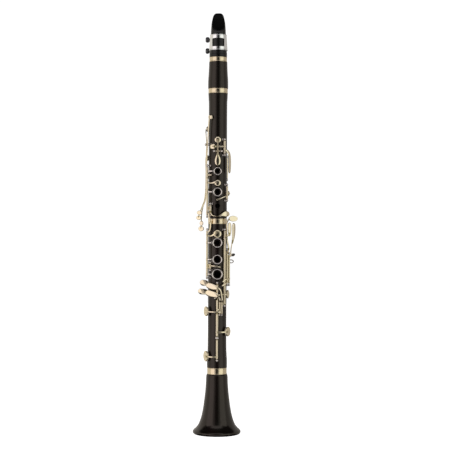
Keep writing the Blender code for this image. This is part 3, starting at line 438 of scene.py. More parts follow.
class Look:
    """A material under construction, with short ways to add its nodes."""

    def __init__(self, name, roughness, metallic=0.0, specular=0.5, coat=0.0, coat_roughness=0.1,
                 tint=(1.0, 1.0, 1.0)):
        self.material = bpy.data.materials.new(name)
        self.material.use_nodes = True
        self.tree = self.material.node_tree
        self.shader = self.tree.nodes["Principled BSDF"]
        self.shader.inputs["Roughness"].default_value = roughness
        self.shader.inputs["Metallic"].default_value = metallic
        self.shader.inputs["Specular IOR Level"].default_value = specular
        self.shader.inputs["Coat Weight"].default_value = coat
        self.shader.inputs["Coat Roughness"].default_value = coat_roughness
        self.shader.inputs["Specular Tint"].default_value = (*tint, 1.0)
        self.place = self.tree.nodes.new("ShaderNodeTexCoord").outputs["Object"]

    def join(self, start, end):
        self.tree.links.new(start, end)

    def noise(self, scale, detail=4.0, rough=0.55, distort=0.0):
        """Noise with its own scale along each axis, per metre."""
        stretch = self.tree.nodes.new("ShaderNodeMapping")
        stretch.inputs["Scale"].default_value = scale
        self.join(self.place, stretch.inputs["Vector"])
        made = self.tree.nodes.new("ShaderNodeTexNoise")
        made.inputs["Scale"].default_value = 1.0
        made.inputs["Detail"].default_value = detail
        made.inputs["Roughness"].default_value = rough
        made.inputs["Distortion"].default_value = distort
        self.join(stretch.outputs["Vector"], made.inputs["Vector"])
        return made.outputs["Fac"]

    def ramp(self, source, stops):
        """Colours, or greys given as numbers, over a source's value."""
        made = self.tree.nodes.new("ShaderNodeValToRGB")
        band = made.color_ramp
        while len(band.elements) < len(stops):
            band.elements.new(0.5)
        for element, (place, colour) in zip(band.elements, stops):
            element.position = place
            element.color = (*colour, 1.0) if isinstance(colour, tuple) else (colour, colour, colour, 1.0)
        self.join(source, made.inputs["Fac"])
        return made.outputs["Color"]

    def mix(self, first, second, share, kind="MIX"):
        """Mix of two colours by a number or by another node's value."""
        made = self.tree.nodes.new("ShaderNodeMix")
        made.data_type = "RGBA"
        made.blend_type = kind
        if isinstance(share, float):
            made.inputs["Factor"].default_value = share
        else:
            self.join(share, made.inputs["Factor"])
        self.join(first, made.inputs["A"])
        self.join(second, made.inputs["B"])
        return made.outputs["Result"]

    def corner_shade_mask(self, reach=0.0012):
        """Share of open sky over a point: low in corners and under edges. It sets where painted shade is
        laid.
        """
        made = self.tree.nodes.new("ShaderNodeAmbientOcclusion")
        made.samples = 6
        made.inputs["Distance"].default_value = reach
        return made.outputs["AO"]

    def edge_shade_mask(self, reach=0.0008):
        """1 on open faces and along round rods, less within a short reach of an edge. It sets where painted
        edge shade is laid.
        """
        made = self.tree.nodes.new("ShaderNodeAmbientOcclusion")
        made.samples = 8
        made.inside = True
        made.inputs["Distance"].default_value = reach
        return made.outputs["AO"]

    def bump(self, source, strength, depth, over=None):
        """Fine relief, laid over another one if given."""
        made = self.tree.nodes.new("ShaderNodeBump")
        made.inputs["Strength"].default_value = strength
        made.inputs["Distance"].default_value = depth
        self.join(source, made.inputs["Height"])
        if over is not None:
            self.join(over, made.inputs["Normal"])
        return made.outputs["Normal"]

    def paint(self, colour=None, roughness=None, normal=None):
        for source, socket in ((colour, "Base Color"), (roughness, "Roughness"), (normal, "Normal")):
            if source is not None:
                self.join(source, self.shader.inputs[socket])
        return self.material


def grenadilla_look():
    """Near-black hardwood: fine straight grain along the bore, plum and green-grey cast, oiled surface."""
    look = Look("grenadilla", 0.2, specular=0.5, tint=(1.0, 0.88, 0.77))
    grain = look.noise((900.0, 900.0, 22.0), 6.0, 0.62, 0.3)
    bands = look.noise((120.0, 120.0, 5.0), 4.0, 0.5, 0.6)
    cast = look.noise((34.0, 34.0, 9.0), 2.0, 0.5)
    dark = look.ramp(grain, [(0.3, (0.002, 0.0015, 0.0012)), (0.55, (0.005, 0.0036, 0.003)),
                             (0.8, (0.016, 0.0094, 0.0068))])
    tint = look.ramp(cast, [(0.32, (0.0155, 0.0064, 0.0074)), (0.5, (0.0075, 0.0056, 0.0043)),
                            (0.68, (0.006, 0.0076, 0.0056))])
    share = look.ramp(bands, [(0.3, 0.15), (0.7, 0.6)])
    colour = look.mix(dark, tint, share)
    gloss = look.ramp(grain, [(0.25, 0.25), (0.6, 0.18), (0.85, 0.14)])
    normal = look.bump(grain, 0.08, 0.00003, look.bump(bands, 0.05, 0.0001))
    return look.paint(colour, gloss, normal)


def ebonite_look():
    """Satin black hard rubber with faint polishing marks and a bloom on top."""
    look = Look("ebonite", 0.22, specular=0.36)
    cloud = look.noise((60.0, 60.0, 30.0), 3.0)
    marks = look.noise((2600.0, 2600.0, 180.0), 3.0, 0.6)
    colour = look.ramp(cloud, [(0.35, (0.003, 0.0032, 0.0034)), (0.7, (0.007, 0.0072, 0.0068))])
    gloss = look.ramp(marks, [(0.3, 0.16), (0.7, 0.26)])
    return look.paint(colour, gloss, look.bump(marks, 0.05, 0.00002))


def plate_look(name, light, deep, shade, smooth, edge=None):
    """Plated metal: slow drift of tone, painted shade in corners and, where an edge colour is given, painted
    shade along edges, fine handling scratches.
    """
    look = Look(name, smooth, 1.0)
    drift = look.noise((55.0, 55.0, 38.0), 3.0, 0.5, 0.4)
    marks = look.noise((1500.0, 420.0, 2600.0), 4.0, 0.7, 0.6)
    spots = look.noise((700.0, 700.0, 700.0), 2.0, 0.5)
    tone = look.ramp(drift, [(0.34, light), (0.66, deep)])
    # painted shade: the dark shade colour fills corners and crevices, where the open sky over a point is
    # small
    shadow = look.ramp(spots, [(0.3, shade), (0.7, tuple(min(1.0, c * 1.35) for c in shade))])
    open_sky = look.ramp(look.corner_shade_mask(), [(0.35, 0.0), (0.85, 1.0)])
    colour = look.mix(shadow, tone, open_sky)
    # painted shade along every edge: a darker olive where the lit faces turn over into shade
    if edge is not None:
        painted_edge_shade = look.ramp(spots, [(0.3, edge), (0.7, tuple(c * 1.2 for c in edge))])
        colour = look.mix(painted_edge_shade, colour, look.ramp(look.edge_shade_mask(), [(0.42, 0.0), (0.82, 1.0)]))
    gloss = look.ramp(marks, [(0.3, smooth - 0.03), (0.55, smooth), (0.78, smooth + 0.12)])
    return look.paint(colour, gloss, look.bump(marks, 0.05, 0.00002))


def ferrule_look():
    """Turned plated rings with a fine brushed lay running round them."""
    look = Look("ferrule_plate", 0.15, 1.0)
    lay = look.noise((40.0, 40.0, 5200.0), 3.0, 0.7)
    drift = look.noise((70.0, 70.0, 90.0), 2.0)
    tone = look.ramp(drift, [(0.35, (0.84, 0.71, 0.48)), (0.65, (0.78, 0.66, 0.47))])
    shade = look.ramp(lay, [(0.2, (0.52, 0.41, 0.24)), (0.75, (0.9, 0.8, 0.6))])
    colour = look.mix(tone, shade, 0.28)
    gloss = look.ramp(lay, [(0.25, 0.1), (0.75, 0.2)])
    return look.paint(colour, gloss, look.bump(lay, 0.12, 0.00002))


def cork_look():
    """Sanded cork with open cells and dark specks."""
    look = Look("tenon_cork", 0.85)
    cells = look.noise((1400.0, 1400.0, 1400.0), 5.0, 0.7)
    specks = look.noise((420.0, 420.0, 420.0), 3.0, 0.6, 0.8)
    base = look.ramp(cells, [(0.3, (0.36, 0.22, 0.115)), (0.7, (0.58, 0.4, 0.23))])
    dark = look.ramp(specks, [(0.6, (1.0, 1.0, 1.0)), (0.72, (0.3, 0.2, 0.14))])
    colour = look.mix(base, dark, 1.0, "MULTIPLY")
    gloss = look.ramp(specks, [(0.3, 0.9), (0.7, 0.7)])
    return look.paint(colour, gloss, look.bump(cells, 0.5, 0.0002))


def pad_look():
    """Thin goldbeater's skin over felt."""
    look = Look("pad_skin", 0.5)
    wrinkle = look.noise((900.0, 900.0, 900.0), 4.0, 0.6, 1.2)
    colour = look.ramp(wrinkle, [(0.3, (0.66, 0.55, 0.38)), (0.7, (0.82, 0.74, 0.58))])
    gloss = look.ramp(wrinkle, [(0.3, 0.58), (0.7, 0.4)])
    return look.paint(colour, gloss, look.bump(wrinkle, 0.3, 0.0001))


def cane_look():
    """Dry cane with long fibres."""
    look = Look("reed_cane", 0.5)
    fibre = look.noise((3200.0, 3200.0, 40.0), 4.0, 0.6)
    drift = look.noise((160.0, 160.0, 60.0), 3.0)
    fine = look.ramp(fibre, [(0.3, (0.5, 0.37, 0.17)), (0.7, (0.74, 0.6, 0.35))])
    slow = look.ramp(drift, [(0.35, (0.62, 0.47, 0.24)), (0.7, (0.72, 0.6, 0.36))])
    colour = look.mix(fine, slow, 0.4)
    gloss = look.ramp(fibre, [(0.3, 0.6), (0.7, 0.42)])
    return look.paint(colour, gloss, look.bump(fibre, 0.25, 0.00008))


def steel_look():
    """Tempered spring and screw steel, blued in patches."""
    look = Look("blued_steel", 0.26, 1.0)
    temper = look.noise((240.0, 240.0, 120.0), 2.0)
    marks = look.noise((2400.0, 2400.0, 2400.0), 3.0)
    colour = look.ramp(temper, [(0.35, (0.2, 0.21, 0.27)), (0.65, (0.42, 0.41, 0.4))])
    gloss = look.ramp(marks, [(0.3, 0.2), (0.7, 0.36)])
    return look.paint(colour, gloss, look.bump(marks, 0.06, 0.00003))


LOOKS = {
    "grenadilla": grenadilla_look(),
    "ebonite": ebonite_look(),
    # Every plate below carries a painted shade colour for its corners; the key plate also carries a painted
    # olive shade along its edges.
    "key_plate": plate_look("key_plate", (0.9, 0.79, 0.54), (0.84, 0.735, 0.58), (0.26, 0.21, 0.1), 0.15,
                            (0.3, 0.25, 0.11)),
    "post_plate": plate_look("post_plate", (0.84, 0.78, 0.72), (0.8, 0.73, 0.68), (0.22, 0.18, 0.14), 0.17),
    "ligature": plate_look("ligature_plate", (0.93, 0.93, 0.92), (0.87, 0.88, 0.88), (0.3, 0.3, 0.3), 0.14),
    "screw_plate": plate_look("dark_screw_plate", (0.16, 0.16, 0.165), (0.1, 0.1, 0.105), (0.03, 0.03, 0.03),
                              0.3),
    "ferrule": ferrule_look(),
    "steel": steel_look(),
    "cork": cork_look(),
    "pad_skin": pad_look(),
    "cane": cane_look(),
}


# ---- body -------------------------------------------------------------------------------------------

# Outer outline of the lower joint above its tenon, as (radius, height)
LOWER_FOOT = [(15.9, LOWER_JOINT_FOOT), (15.9, 117.0), (15.45, 123.5), (15.0, 132.0), (14.8, 144.0),
              (WOOD, 160.0)]


def wood_radius(height):
    return radius_on(LOWER_FOOT, height, WOOD)


def tenon(low, high):
    """Outer side of a tenon between two heights, with the groove for its cork."""
    return [(TENON, low), (TENON, low + 2.0), (TENON - 0.9, low + 2.0), (TENON - 0.9, high - 2.0),
            (TENON, high - 2.0), (TENON, high)]


def bored(cutters, angle, height, hole, reach=20.0):
    """Tone hole from outside down into the bore, a little undercut."""
    outline = [(0.0, BORE - 2.4), (hole + 0.5, BORE - 2.4), (hole, BORE + 1.2), (hole, reach), (0.0, reach)]
    cutters.turn(outline, at(angle, 0.0, height), outward(angle), 32)


def chimney(shell, angle, height, hole, lip):
    """Raised lip round a finger hole, its edges rounded."""
    low = WOOD - 1.2
    outline = [(hole, low), (lip, low), (lip, CHIMNEY_TOP), (hole, CHIMNEY_TOP)]
    shell.turn(rounded(outline, 0.35, 4, True), at(angle, 0.0, height), outward(angle), 48, True)


def make_bell():
    outer = flowing([(15.9, 94.0), (17.0, 91.0), (17.5, 79.0), (18.5, 66.0), (19.9, 54.0), (21.7, 41.0),
                     (24.3, 28.0),
                     (28.4, 16.0), (32.6, 10.0), (36.2, 6.6), (37.8, 4.4), (37.9, 2.8), (37.2, 1.1),
                     (36.0, 0.1),
                     (34.9, 0.1), (33.9, 1.4)], 6)
    inner = flowing([(32.6, 3.8), (27.0, 11.0), (22.0, 24.0), (18.6, 42.0), (15.6, 62.0), (12.6, 87.0)], 6)
    socket = rounded([(12.4, 87.6), (SOCKET, 87.6), (SOCKET, BELL_TOP), (BELL_SEAT, BELL_TOP),
                      (BELL_SEAT, 94.4),
                      (15.9, 94.4)], 0.2, 2)
    shell = Shell()
    shell.upright([*inner, *socket, *outer[1:]], BODY_SIDES)
    piece("bell_wood", shell, "grenadilla", "root", ["bell"])


def make_rings():
    """Plated rings shrunk on the ends of the joints, each with a bead at top and bottom."""
    for name, body, low, high, seat, outer in (
            ("bell_ring", "root", 94.6, BELL_TOP, BELL_SEAT, 15.7),
            ("lower_joint_top_ring", "root", 331.6, LOWER_JOINT_TOP, LOWER_JOINT_SEAT, 15.2),
            ("barrel_lower_ring", "head", BARREL_FOOT, 545.6, BARREL_LOWER_SEAT, 15.5),
            ("barrel_upper_ring", "head", 588.0, BARREL_TOP, BARREL_UPPER_SEAT, 14.0)):
        inner, middle = seat + GAP, outer - 0.22
        outline = [(inner, low), (outer, low), (outer, low + 0.8), (middle, low + 1.1), (middle, high - 1.1),
                   (outer, high - 0.8), (outer, high), (inner, high)]
        shell = Shell()
        shell.upright(rounded(outline, 0.28, 3, True))
        piece(name + "_turned", shell, "ferrule", body, [name])


def make_corks():
    rings = [("upper_joint_bottom_cork", "root", 324.0, 338.3),
             ("upper_joint_top_cork", "root", 539.7, 552.5),
             ("lower_joint_cork", "root", 92.0, 102.9), ("mouthpiece_cork", "head", 579.0, 593.5)]
    for name, body, low, high in rings:
        shell = Shell()
        outline = [(TENON - 0.6, low + GAP), (CORK, low + GAP), (CORK, high - GAP), (TENON - 0.6, high - GAP)]
        shell.upright(rounded(outline, 0.3, 3, True))
        piece(name + "_ring", shell, "cork", body, [name])


# Rods along the body: (angle, distance out)
LEFT_ROD = (angle_of(-16.4, ROD_HIGH), ROD_HIGH)
LOWER_LEFT_ROD = (angle_of(-16.3, ROD_HIGH), ROD_HIGH)
G_SHARP_ROD = (angle_of(10.7, ROD_LOW), ROD_LOW)
SLIVER_ROD = (angle_of(14.9, ROD_LOW), ROD_LOW)
C_SHARP_ROD = (angle_of(-11.2, ROD_LOW), ROD_LOW)
FORK_ROD = (angle_of(-11.4, ROD_LOW), ROD_LOW)
MAIN_ROD = (0.0, ROD_LOW)
F_ROD = (angle_of(4.1, ROD_LOW), ROD_LOW)
F_SHARP_ROD = (angle_of(7.3, ROD_LOW), ROD_LOW)
THUMB_ROD = (128.0, ROD_LOW)
LH_F_SHARP_ROD = (38.2, ROD_LOW)
LH_E_ROD = (53.5, 19.2)
LH_F_ROD = (70.0, 19.6)

# Hinge tubes of the left hand's little-finger levers: (angle, distance out, bottom, top)
LH_F_SHARP_TUBE = (*LH_F_SHARP_ROD, 205.0, 320.5)
LH_E_TUBE = (*LH_E_ROD, 238.0, 289.0)
LH_F_TUBE = (*LH_F_ROD, 238.0, 283.0)

# From a tube's end to the middle of its post
POST_STEP = 2.3

# See-saw axes across the body: (middle angle, distance out, height, half spread of its posts, post bead)
A_AXIS = (1.2, 17.4, 446.0, 19.0, BALL)
REGISTER_AXIS = (180.0, 17.6, 468.0, 17.0, BALL)
TRILL_AXIS = (-66.5, 18.36, 457.0, 17.0, BALL)
SIDE_AXIS = (-101.0, 18.3, 386.0, 15.4, SMALL_BALL)

# Finger holes: (angle, height, radius, radius of the raised lip)
UPPER_HOLES = [(0.0, 414.6, 2.9, 4.1), (0.0, 382.0, 3.4, 4.7), (0.0, 360.0, 3.5, 4.5),
               (180.0, 422.0, 3.2, 4.2)]
LOWER_HOLES = [(0.0, 302.0, 3.8, 5.35), (0.0, 275.7, 4.3, 5.25), (0.0, 252.6, 5.0, 6.1)]

# Finger rings: (height, outer radius, inner radius)
THUMB_RING = (422.0, 6.4, 5.0)
FIRST_RING = (414.6, 6.25, 4.85)
SECOND_RING = (382.0, 6.95, 5.45)
LOWER_RINGS = [(302.0, 7.75, 6.1), (275.7, 7.6, 6.0), (252.6, 8.5, 6.85)]

# Padded holes: key -> (angle, height, cup radius, cup face, cup depth)
UPPER_PADS = {
    "register_key": (180.0, 503.0, 4.2, CUP_FACE, CUP_THICK),
    "thumb_ring_key": (155.0, 431.0, 4.0, CUP_FACE + 1.2, CUP_THICK),
    "a_key": (0.0, 464.0, 5.0, CUP_FACE, CUP_THICK),
    "g_sharp_key": (-27.5, 453.5, 4.7, CUP_FACE, CUP_THICK),
    "side_key_1": (-43.5, 499.8, 4.2, CUP_FACE, CUP_THICK),
    "side_key_2": (-106.0, 482.0, 4.2, CUP_FACE, CUP_THICK),
    "side_key_3": (-98.0, 436.0, 5.0, CUP_FACE, CUP_THICK),
    "side_key_4": (-117.0, 408.0, 5.0, CUP_FACE, CUP_THICK),
    "second_ring_key": (0.0, 396.0, 5.0, CUP_FACE + 1.9, CUP_THICK),
    "upper_e_flat_key": (88.0, 380.0, 3.8, CUP_FACE, CUP_THICK),
    "c_sharp_g_sharp_key": (-51.0, 356.0, 3.6, CUP_FACE - 0.5, LOW_CUP),
}
LOWER_PADS = {
    "lower_ring_key": (0.0, 316.0, 6.2, CUP_FACE + 1.9, CUP_THICK),
    "fork_key": (-60.0, 265.0, 4.0, CUP_FACE - 0.5, LOW_CUP),
    "a_flat_e_flat_key": (76.0, 220.7, 6.8, CUP_FACE, CUP_THICK),
    "f_sharp_c_sharp_key": (-66.0, 193.7, 8.0, CUP_FACE + STANDING_OPEN, CUP_THICK),
    "f_c_key": (62.0, 162.0, 7.75, CUP_FACE + STANDING_OPEN, CUP_THICK),
    "e_b_key": (-66.0, 123.0, 8.5, CUP_FACE + STANDING_OPEN, CUP_THICK),
}
PAD_PLACES = {**UPPER_PADS, **LOWER_PADS}

# Posts of rods along the body: (angle, distance out, height, bead, side on which the hinge tube lies)
UPPER_POSTS = [
    (*G_SHARP_ROD, 464.8, BALL, -1), (*G_SHARP_ROD, 440.0, BALL, 1),
    (*LEFT_ROD, 423.4, BALL, -1), (*LEFT_ROD, 343.0, BALL, 1),
    (*SLIVER_ROD, 393.4, BALL, -1), (*SLIVER_ROD, 368.4, BALL, 1),
    (*C_SHARP_ROD, 363.4, BALL, -1), (*C_SHARP_ROD, 345.2, SMALL_BALL, 1),
    (*THUMB_ROD, 438.8, BALL, -1), (*THUMB_ROD, 401.8, BALL, 1),
]
LOWER_POSTS = [
    (*LOWER_LEFT_ROD, 322.8, BALL, -1), (*LOWER_LEFT_ROD, 246.6, BALL, 1),
    (*FORK_ROD, 271.2, BALL, -1), (*FORK_ROD, 258.8, BALL, 1),
    (*MAIN_ROD, 239.0, BALL, -1), (*MAIN_ROD, 152.4, BORED_BALL, 0),
    (*MAIN_ROD, 117.0, BALL, 1),
    (*F_ROD, 188.6, SMALL_BALL, 1), (*F_SHARP_ROD, 188.6, SMALL_BALL, 1),
    (*F_ROD, 214.4, SMALL_BALL, -1), (*F_SHARP_ROD, 214.4, SMALL_BALL, -1),
]
for *rod, bottom, top in (LH_F_SHARP_TUBE, LH_E_TUBE, LH_F_TUBE):
    LOWER_POSTS.append((*rod, bottom - POST_STEP, BALL, 1))
    LOWER_POSTS.append((*rod, top + POST_STEP, BALL, -1))


def make_joint(name, outline, holes, pads, screw_holes=()):
    """Wooden joint: turned tube, tone holes through to the bore, and the finger holes' raised lips."""
    shell = Shell()
    shell.upright(outline, BODY_SIDES)
    places = [hole[:3] for hole in holes]
    places += [(angle, height, radius * 0.55) for angle, height, radius, _, _ in pads.values()]
    for hole in places:
        cutters = Shell()
        bored(cutters, *hole)
        shell = cut(shell, cutters)
    for angle, reach_low, reach_high, height, radius in screw_holes:
        cutters = Shell()
        cutters.peg(at(angle, reach_low, height), at(angle, reach_high, height), radius)
        shell = cut(shell, cutters)
    for hole in holes:
        chimney(shell, *hole)
    piece(name + "_wood", shell, "grenadilla", "root", [name])


THUMB_REST_ANGLE = 126.0
THUMB_REST_Z = 281.0
REST_SCREW_Z = THUMB_REST_Z + 9.0
STRAP_RING_Z = THUMB_REST_Z - 9.0


def make_joints():
    low, high = UPPER_JOINT_FOOT, UPPER_JOINT_TOP
    wall = [(WOOD, low), *flowing([(WOOD - 0.05, 380.0), (WOOD - 0.2, 430.0), (WOOD - 0.2, 515.0),
                                   (14.9, 528.0),
                                   (15.4, high - 0.4)], 5), (15.2, high)]
    outline = [(BORE, 322.0), *tenon(322.0, low), *wall, *tenon(high, 554.5), (BORE, 554.5)]
    make_joint("upper_joint", outline, UPPER_HOLES, UPPER_PADS)
    high = LOWER_JOINT_TOP
    outline = [(BORE, 90.0), *tenon(90.0, LOWER_JOINT_FOOT), *flowing(LOWER_FOOT, 4), (WOOD, 331.3),
               (LOWER_JOINT_SEAT, 331.3), (LOWER_JOINT_SEAT, high), (SOCKET, high), (SOCKET, 320.5),
               (BORE, 320.5)]
    make_joint("lower_joint", outline, LOWER_HOLES, LOWER_PADS,
               [(THUMB_REST_ANGLE, 11.0, 20.0, REST_SCREW_Z, 1.5)])


def slot_screw(shell, centre, axis, radius, length):
    """Round screw head along an axis, with a driver slot across it."""
    first, second = axes_for(axis)
    for side in (-1.0, 1.0):
        sections = []
        for height, scale in ((0.0, 1.0), (length - 0.12, 1.0), (length, 0.86)):
            section = []
            for i in range(13):
                turn = math.pi * i / 12.0 - math.pi / 2.0
                x = max(0.16, math.cos(turn) * radius * scale)
                y = math.sin(turn) * radius * scale
                section.append(centre + (first * side * x + second * side * y + axis * height) * MM)
            sections.append(section)
        shell.skin(sections)


def pivot_screw(screws, centre, way, bead, length):
    """Screw through a post's ball, slot outside, with its point in the hinge tube that lies `way`."""
    slot_screw(screws, centre - way * (bead - 0.25) * MM, -way, bead * 0.42, 0.45)
    screws.peg(centre, centre + way * length * MM, bead * 0.36, 14, 0.08)


def make_posts():
    """Posts with their pivot screws, one piece for each joint."""
    for name, stations, axes in (("upper", UPPER_POSTS, (A_AXIS, REGISTER_AXIS, TRILL_AXIS, SIDE_AXIS)),
                                 ("lower", LOWER_POSTS, ())):
        posts = Shell()
        screws = Shell()
        for angle, reach, height, bead, side in stations:
            posts.post(angle, reach, height, bead)
            if side:
                pivot_screw(screws, at(angle, reach, height), UP * side, bead, bead + 0.38)
        for angle, reach, height, spread, bead in axes:
            far = reach / math.cos(math.radians(spread))
            for side in (-1.0, 1.0):
                place = (angle + side * spread, far, height)
                posts.post(*place, bead)
                pivot_screw(screws, at(*place), outward(angle + 90.0) * -side, bead, bead + 0.2)
        piece(name + "_joint_posts", posts, "post_plate", "root")
        piece(name + "_joint_pivot_screws", screws, "steel", "root")


def make_springs():
    """Needle springs, each from its post along the wood under its key."""
    shell = Shell()
    runs = [
        (G_SHARP_ROD, 440.0, 452.0, 1), (LEFT_ROD, 423.4, 409.0, 1), (LEFT_ROD, 343.0, 362.0, 1),
        (SLIVER_ROD, 393.4, 382.0, -1), (C_SHARP_ROD, 363.4, 355.0, 1), (THUMB_ROD, 401.8, 418.0, 1),
        (LOWER_LEFT_ROD, 246.6, 270.0, 1), (MAIN_ROD, 239.0, 224.0, -1), (MAIN_ROD, 117.0, 140.0, 1),
        (LH_F_SHARP_ROD, 202.7, 226.0, -1), (LH_E_ROD, 235.7, 255.0, 1), (LH_F_ROD, 235.7, 255.0, 1),
    ]
    reach = WOOD + 1.5
    for (angle, _), post_height, tip_height, side in runs:
        shell.needle(at(angle, reach, post_height), at(angle + side * 2.5, reach, tip_height), 0.34, 0.16)
    piece("needle_springs", shell, "steel", "root")


def saddle(shell, angle, height, half_angle, half_height, low, high):
    """Plate with rounded edges that follows the body's curve."""
    levels = [(0.0, low), (0.5, low), (0.97, low), (1.0, low + 0.25), (1.0, high - 0.35), (0.97, high - 0.08),
              (0.88, high), (0.5, high), (0.0, high)]
    sections = []
    for share, radius in levels:
        if share == 0.0:
            sections.append([at(angle, radius, height)])
            continue
        section = []
        for i in range(48):
            x, y = boxy(TAU * i / 48, 2.0 / 3.0)
            section.append(at(angle + x * share * half_angle, radius, height + y * share * half_height))
        sections.append(section)
    shell.skin(sections)


def make_thumb_rest():
    angle, z = THUMB_REST_ANGLE, THUMB_REST_Z
    shell = Shell()
    saddle(shell, angle, z + 0.5, 17.0, 12.5, WOOD + 0.06, 16.4)
    across = outward(angle + 90.0)
    sections = []
    for radius, half, drop, thick in ((15.6, 5.2, 1.4, 4.6), (17.0, 5.6, 0.9, 3.2), (20.0, 5.9, 0.2, 2.1),
                                      (25.0, 6.0, -0.3, 1.7), (28.2, 6.0, -0.1, 1.8), (29.6, 5.9, 0.6, 2.4),
                                      (30.6, 5.6, 1.5, 3.2), (31.1, 5.0, 2.2, 3.0)):
        section = []
        for i in range(24):
            x, y = boxy(TAU * i / 24, 0.7)
            section.append(at(angle, radius, z + drop) + (across * x * half + UP * y * thick * 0.5) * MM)
        sections.append(section)
    shell.skin(sections)
    shell.peg(at(angle, 15.9, STRAP_RING_Z), at(angle, 23.2, STRAP_RING_Z), 1.3)
    wire = [(3.8 + 0.8 * math.cos(t), 0.8 * math.sin(t)) for t in (TAU * k / 12.0 for k in range(12))]
    shell.turn(wire, at(angle, 26.6, STRAP_RING_Z), Vector((0.0, -0.6, 0.8)), 40, True)
    piece("thumb_rest_hook", shell, "post_plate", "root", ["thumb_rest"])
    screw = Shell()
    head = rounded([(0.0, 16.2), (2.4, 16.2), (2.4, 17.2), (1.9, 17.9), (0.0, 18.1)], 0.3, 3)
    screw.turn(head, at(angle, 0.0, REST_SCREW_Z), outward(angle), 32)
    screw.peg(at(angle, 11.6, REST_SCREW_Z), at(angle, 16.4, REST_SCREW_Z), 1.1)
    piece("thumb_rest_screw_head", screw, "steel", "root", ["thumb_rest_screw"])


# ---- mouthpiece, reed, ligature and barrel ------------------------------------------------------------

MOUTHPIECE_OUTLINE = [(13.7, 595.5), (14.1, 599.0), (13.4, 606.0), (12.0, 631.0), (11.6, 639.5),
                      (11.1, 646.0),
                      (10.5, 651.0), (9.5, 656.0), (8.7, 659.6), (7.8, 662.2), (6.7, 664.1), (5.4, 665.4),
                      (3.9, 666.1), (2.2, 666.38)]
TABLE = 8.2
BEAK_FOOT = (-12.4, 634.0)
BEAK_TIP = (TABLE - 1.2, 666.45)


def soft_floor(value, floor, ease):
    """The value kept above a floor, with an eased corner."""
    over = value - floor
    return floor + (over + math.sqrt(over * over + ease * ease)) * 0.5


def make_mouthpiece():
    """Turned body, cut flat at the back for the reed and sloped to the beak, with its bore and window."""
    shell = Shell()
    shank = [(13.5, 595.55), (13.9, 595.9), (14.0, 598.6), (14.05, 599.4), (13.78, 599.7), (13.78, 600.3),
             (14.0, 600.6)]
    sections = []
    for radius, height in [*rounded(tenon(577.0, 595.5), 0.2, 2), *shank, *flowing(MOUTHPIECE_OUTLINE[2:])]:
        above = height - BEAK_FOOT[1]
        slope = BEAK_FOOT[0] + (BEAK_TIP[0] - BEAK_FOOT[0]) * above / (BEAK_TIP[1] - BEAK_FOOT[1])
        sag = 0.9 * math.sin(math.pi * min(1.0, max(0.0, above / 31.0)))
        section = []
        for i in range(TURNED_SIDES):
            turn = TAU * i / TURNED_SIDES
            x = radius * math.sin(turn)
            y = -radius * math.cos(turn)
            if height > 596.5:
                y = -soft_floor(-y, -TABLE, 0.25)
            if height > 615.0:
                y = min(soft_floor(y, slope + sag, 1.1), TABLE)
            section.append(Vector((x, y, height)) * MM)
        sections.append(section)
    shell.skin(sections)
    hollow = Shell()
    hollow.upright([(0.0, 570.0), (7.6, 570.0), (7.3, 628.0), (4.4, 638.0), (0.0, 640.0)], 48, False)
    shell = cut(shell, hollow)
    window = Shell()
    sections = []
    for y, top in ((3.0, 652.0), (TABLE, 662.5), (TABLE + 1.0, 662.5)):
        outline = rounded([(-5.2, 624.0), (5.2, 624.0), (5.0, top), (-5.0, top)], 1.6, 4, True)
        sections.append([Vector((x, y, z)) * MM for x, z in outline])
    window.skin(sections)
    shell = cut(shell, window)
    piece("mouthpiece_body", shell, "ebonite", "head", ["mouthpiece"])


def make_reed():
    """Flat-backed cane blade: round bark side at the heel, shaved from its shoulder to a thin tip."""
    shell = Shell()
    face = TABLE + 0.05
    sections = []
    for height, thick, half in ((598.0, 2.4, 5.3), (598.4, 2.75, 5.6), (600.0, 2.85, 5.7), (615.0, 2.85, 5.9),
                                (630.5, 2.85, 6.05), (632.2, 2.6, 6.1), (634.0, 2.3, 6.1), (642.0, 1.65, 6.2),
                                (650.0, 1.1, 6.3), (657.0, 0.68, 6.3), (662.0, 0.45, 6.1), (664.0, 0.36, 5.2),
                                (665.0, 0.3, 3.8), (665.5, 0.26, 2.0)):
        section = [Vector((-half, face, height)) * MM, Vector((half, face, height)) * MM]
        for i in range(13):
            turn = math.pi * i / 12.0
            back = face + 0.12 + (thick - 0.12) * math.sin(turn) ** 0.7
            section.append(Vector((half * math.cos(turn) * 0.985, back, height)) * MM)
        sections.append(section)
    shell.skin(sections)
    piece("reed_blade", shell, "cane", "head", ["reed"])


SCREW_HEIGHTS = (607.6, 625.4)
SCREW_Y = 16.6
LUG_HALF = 2.2


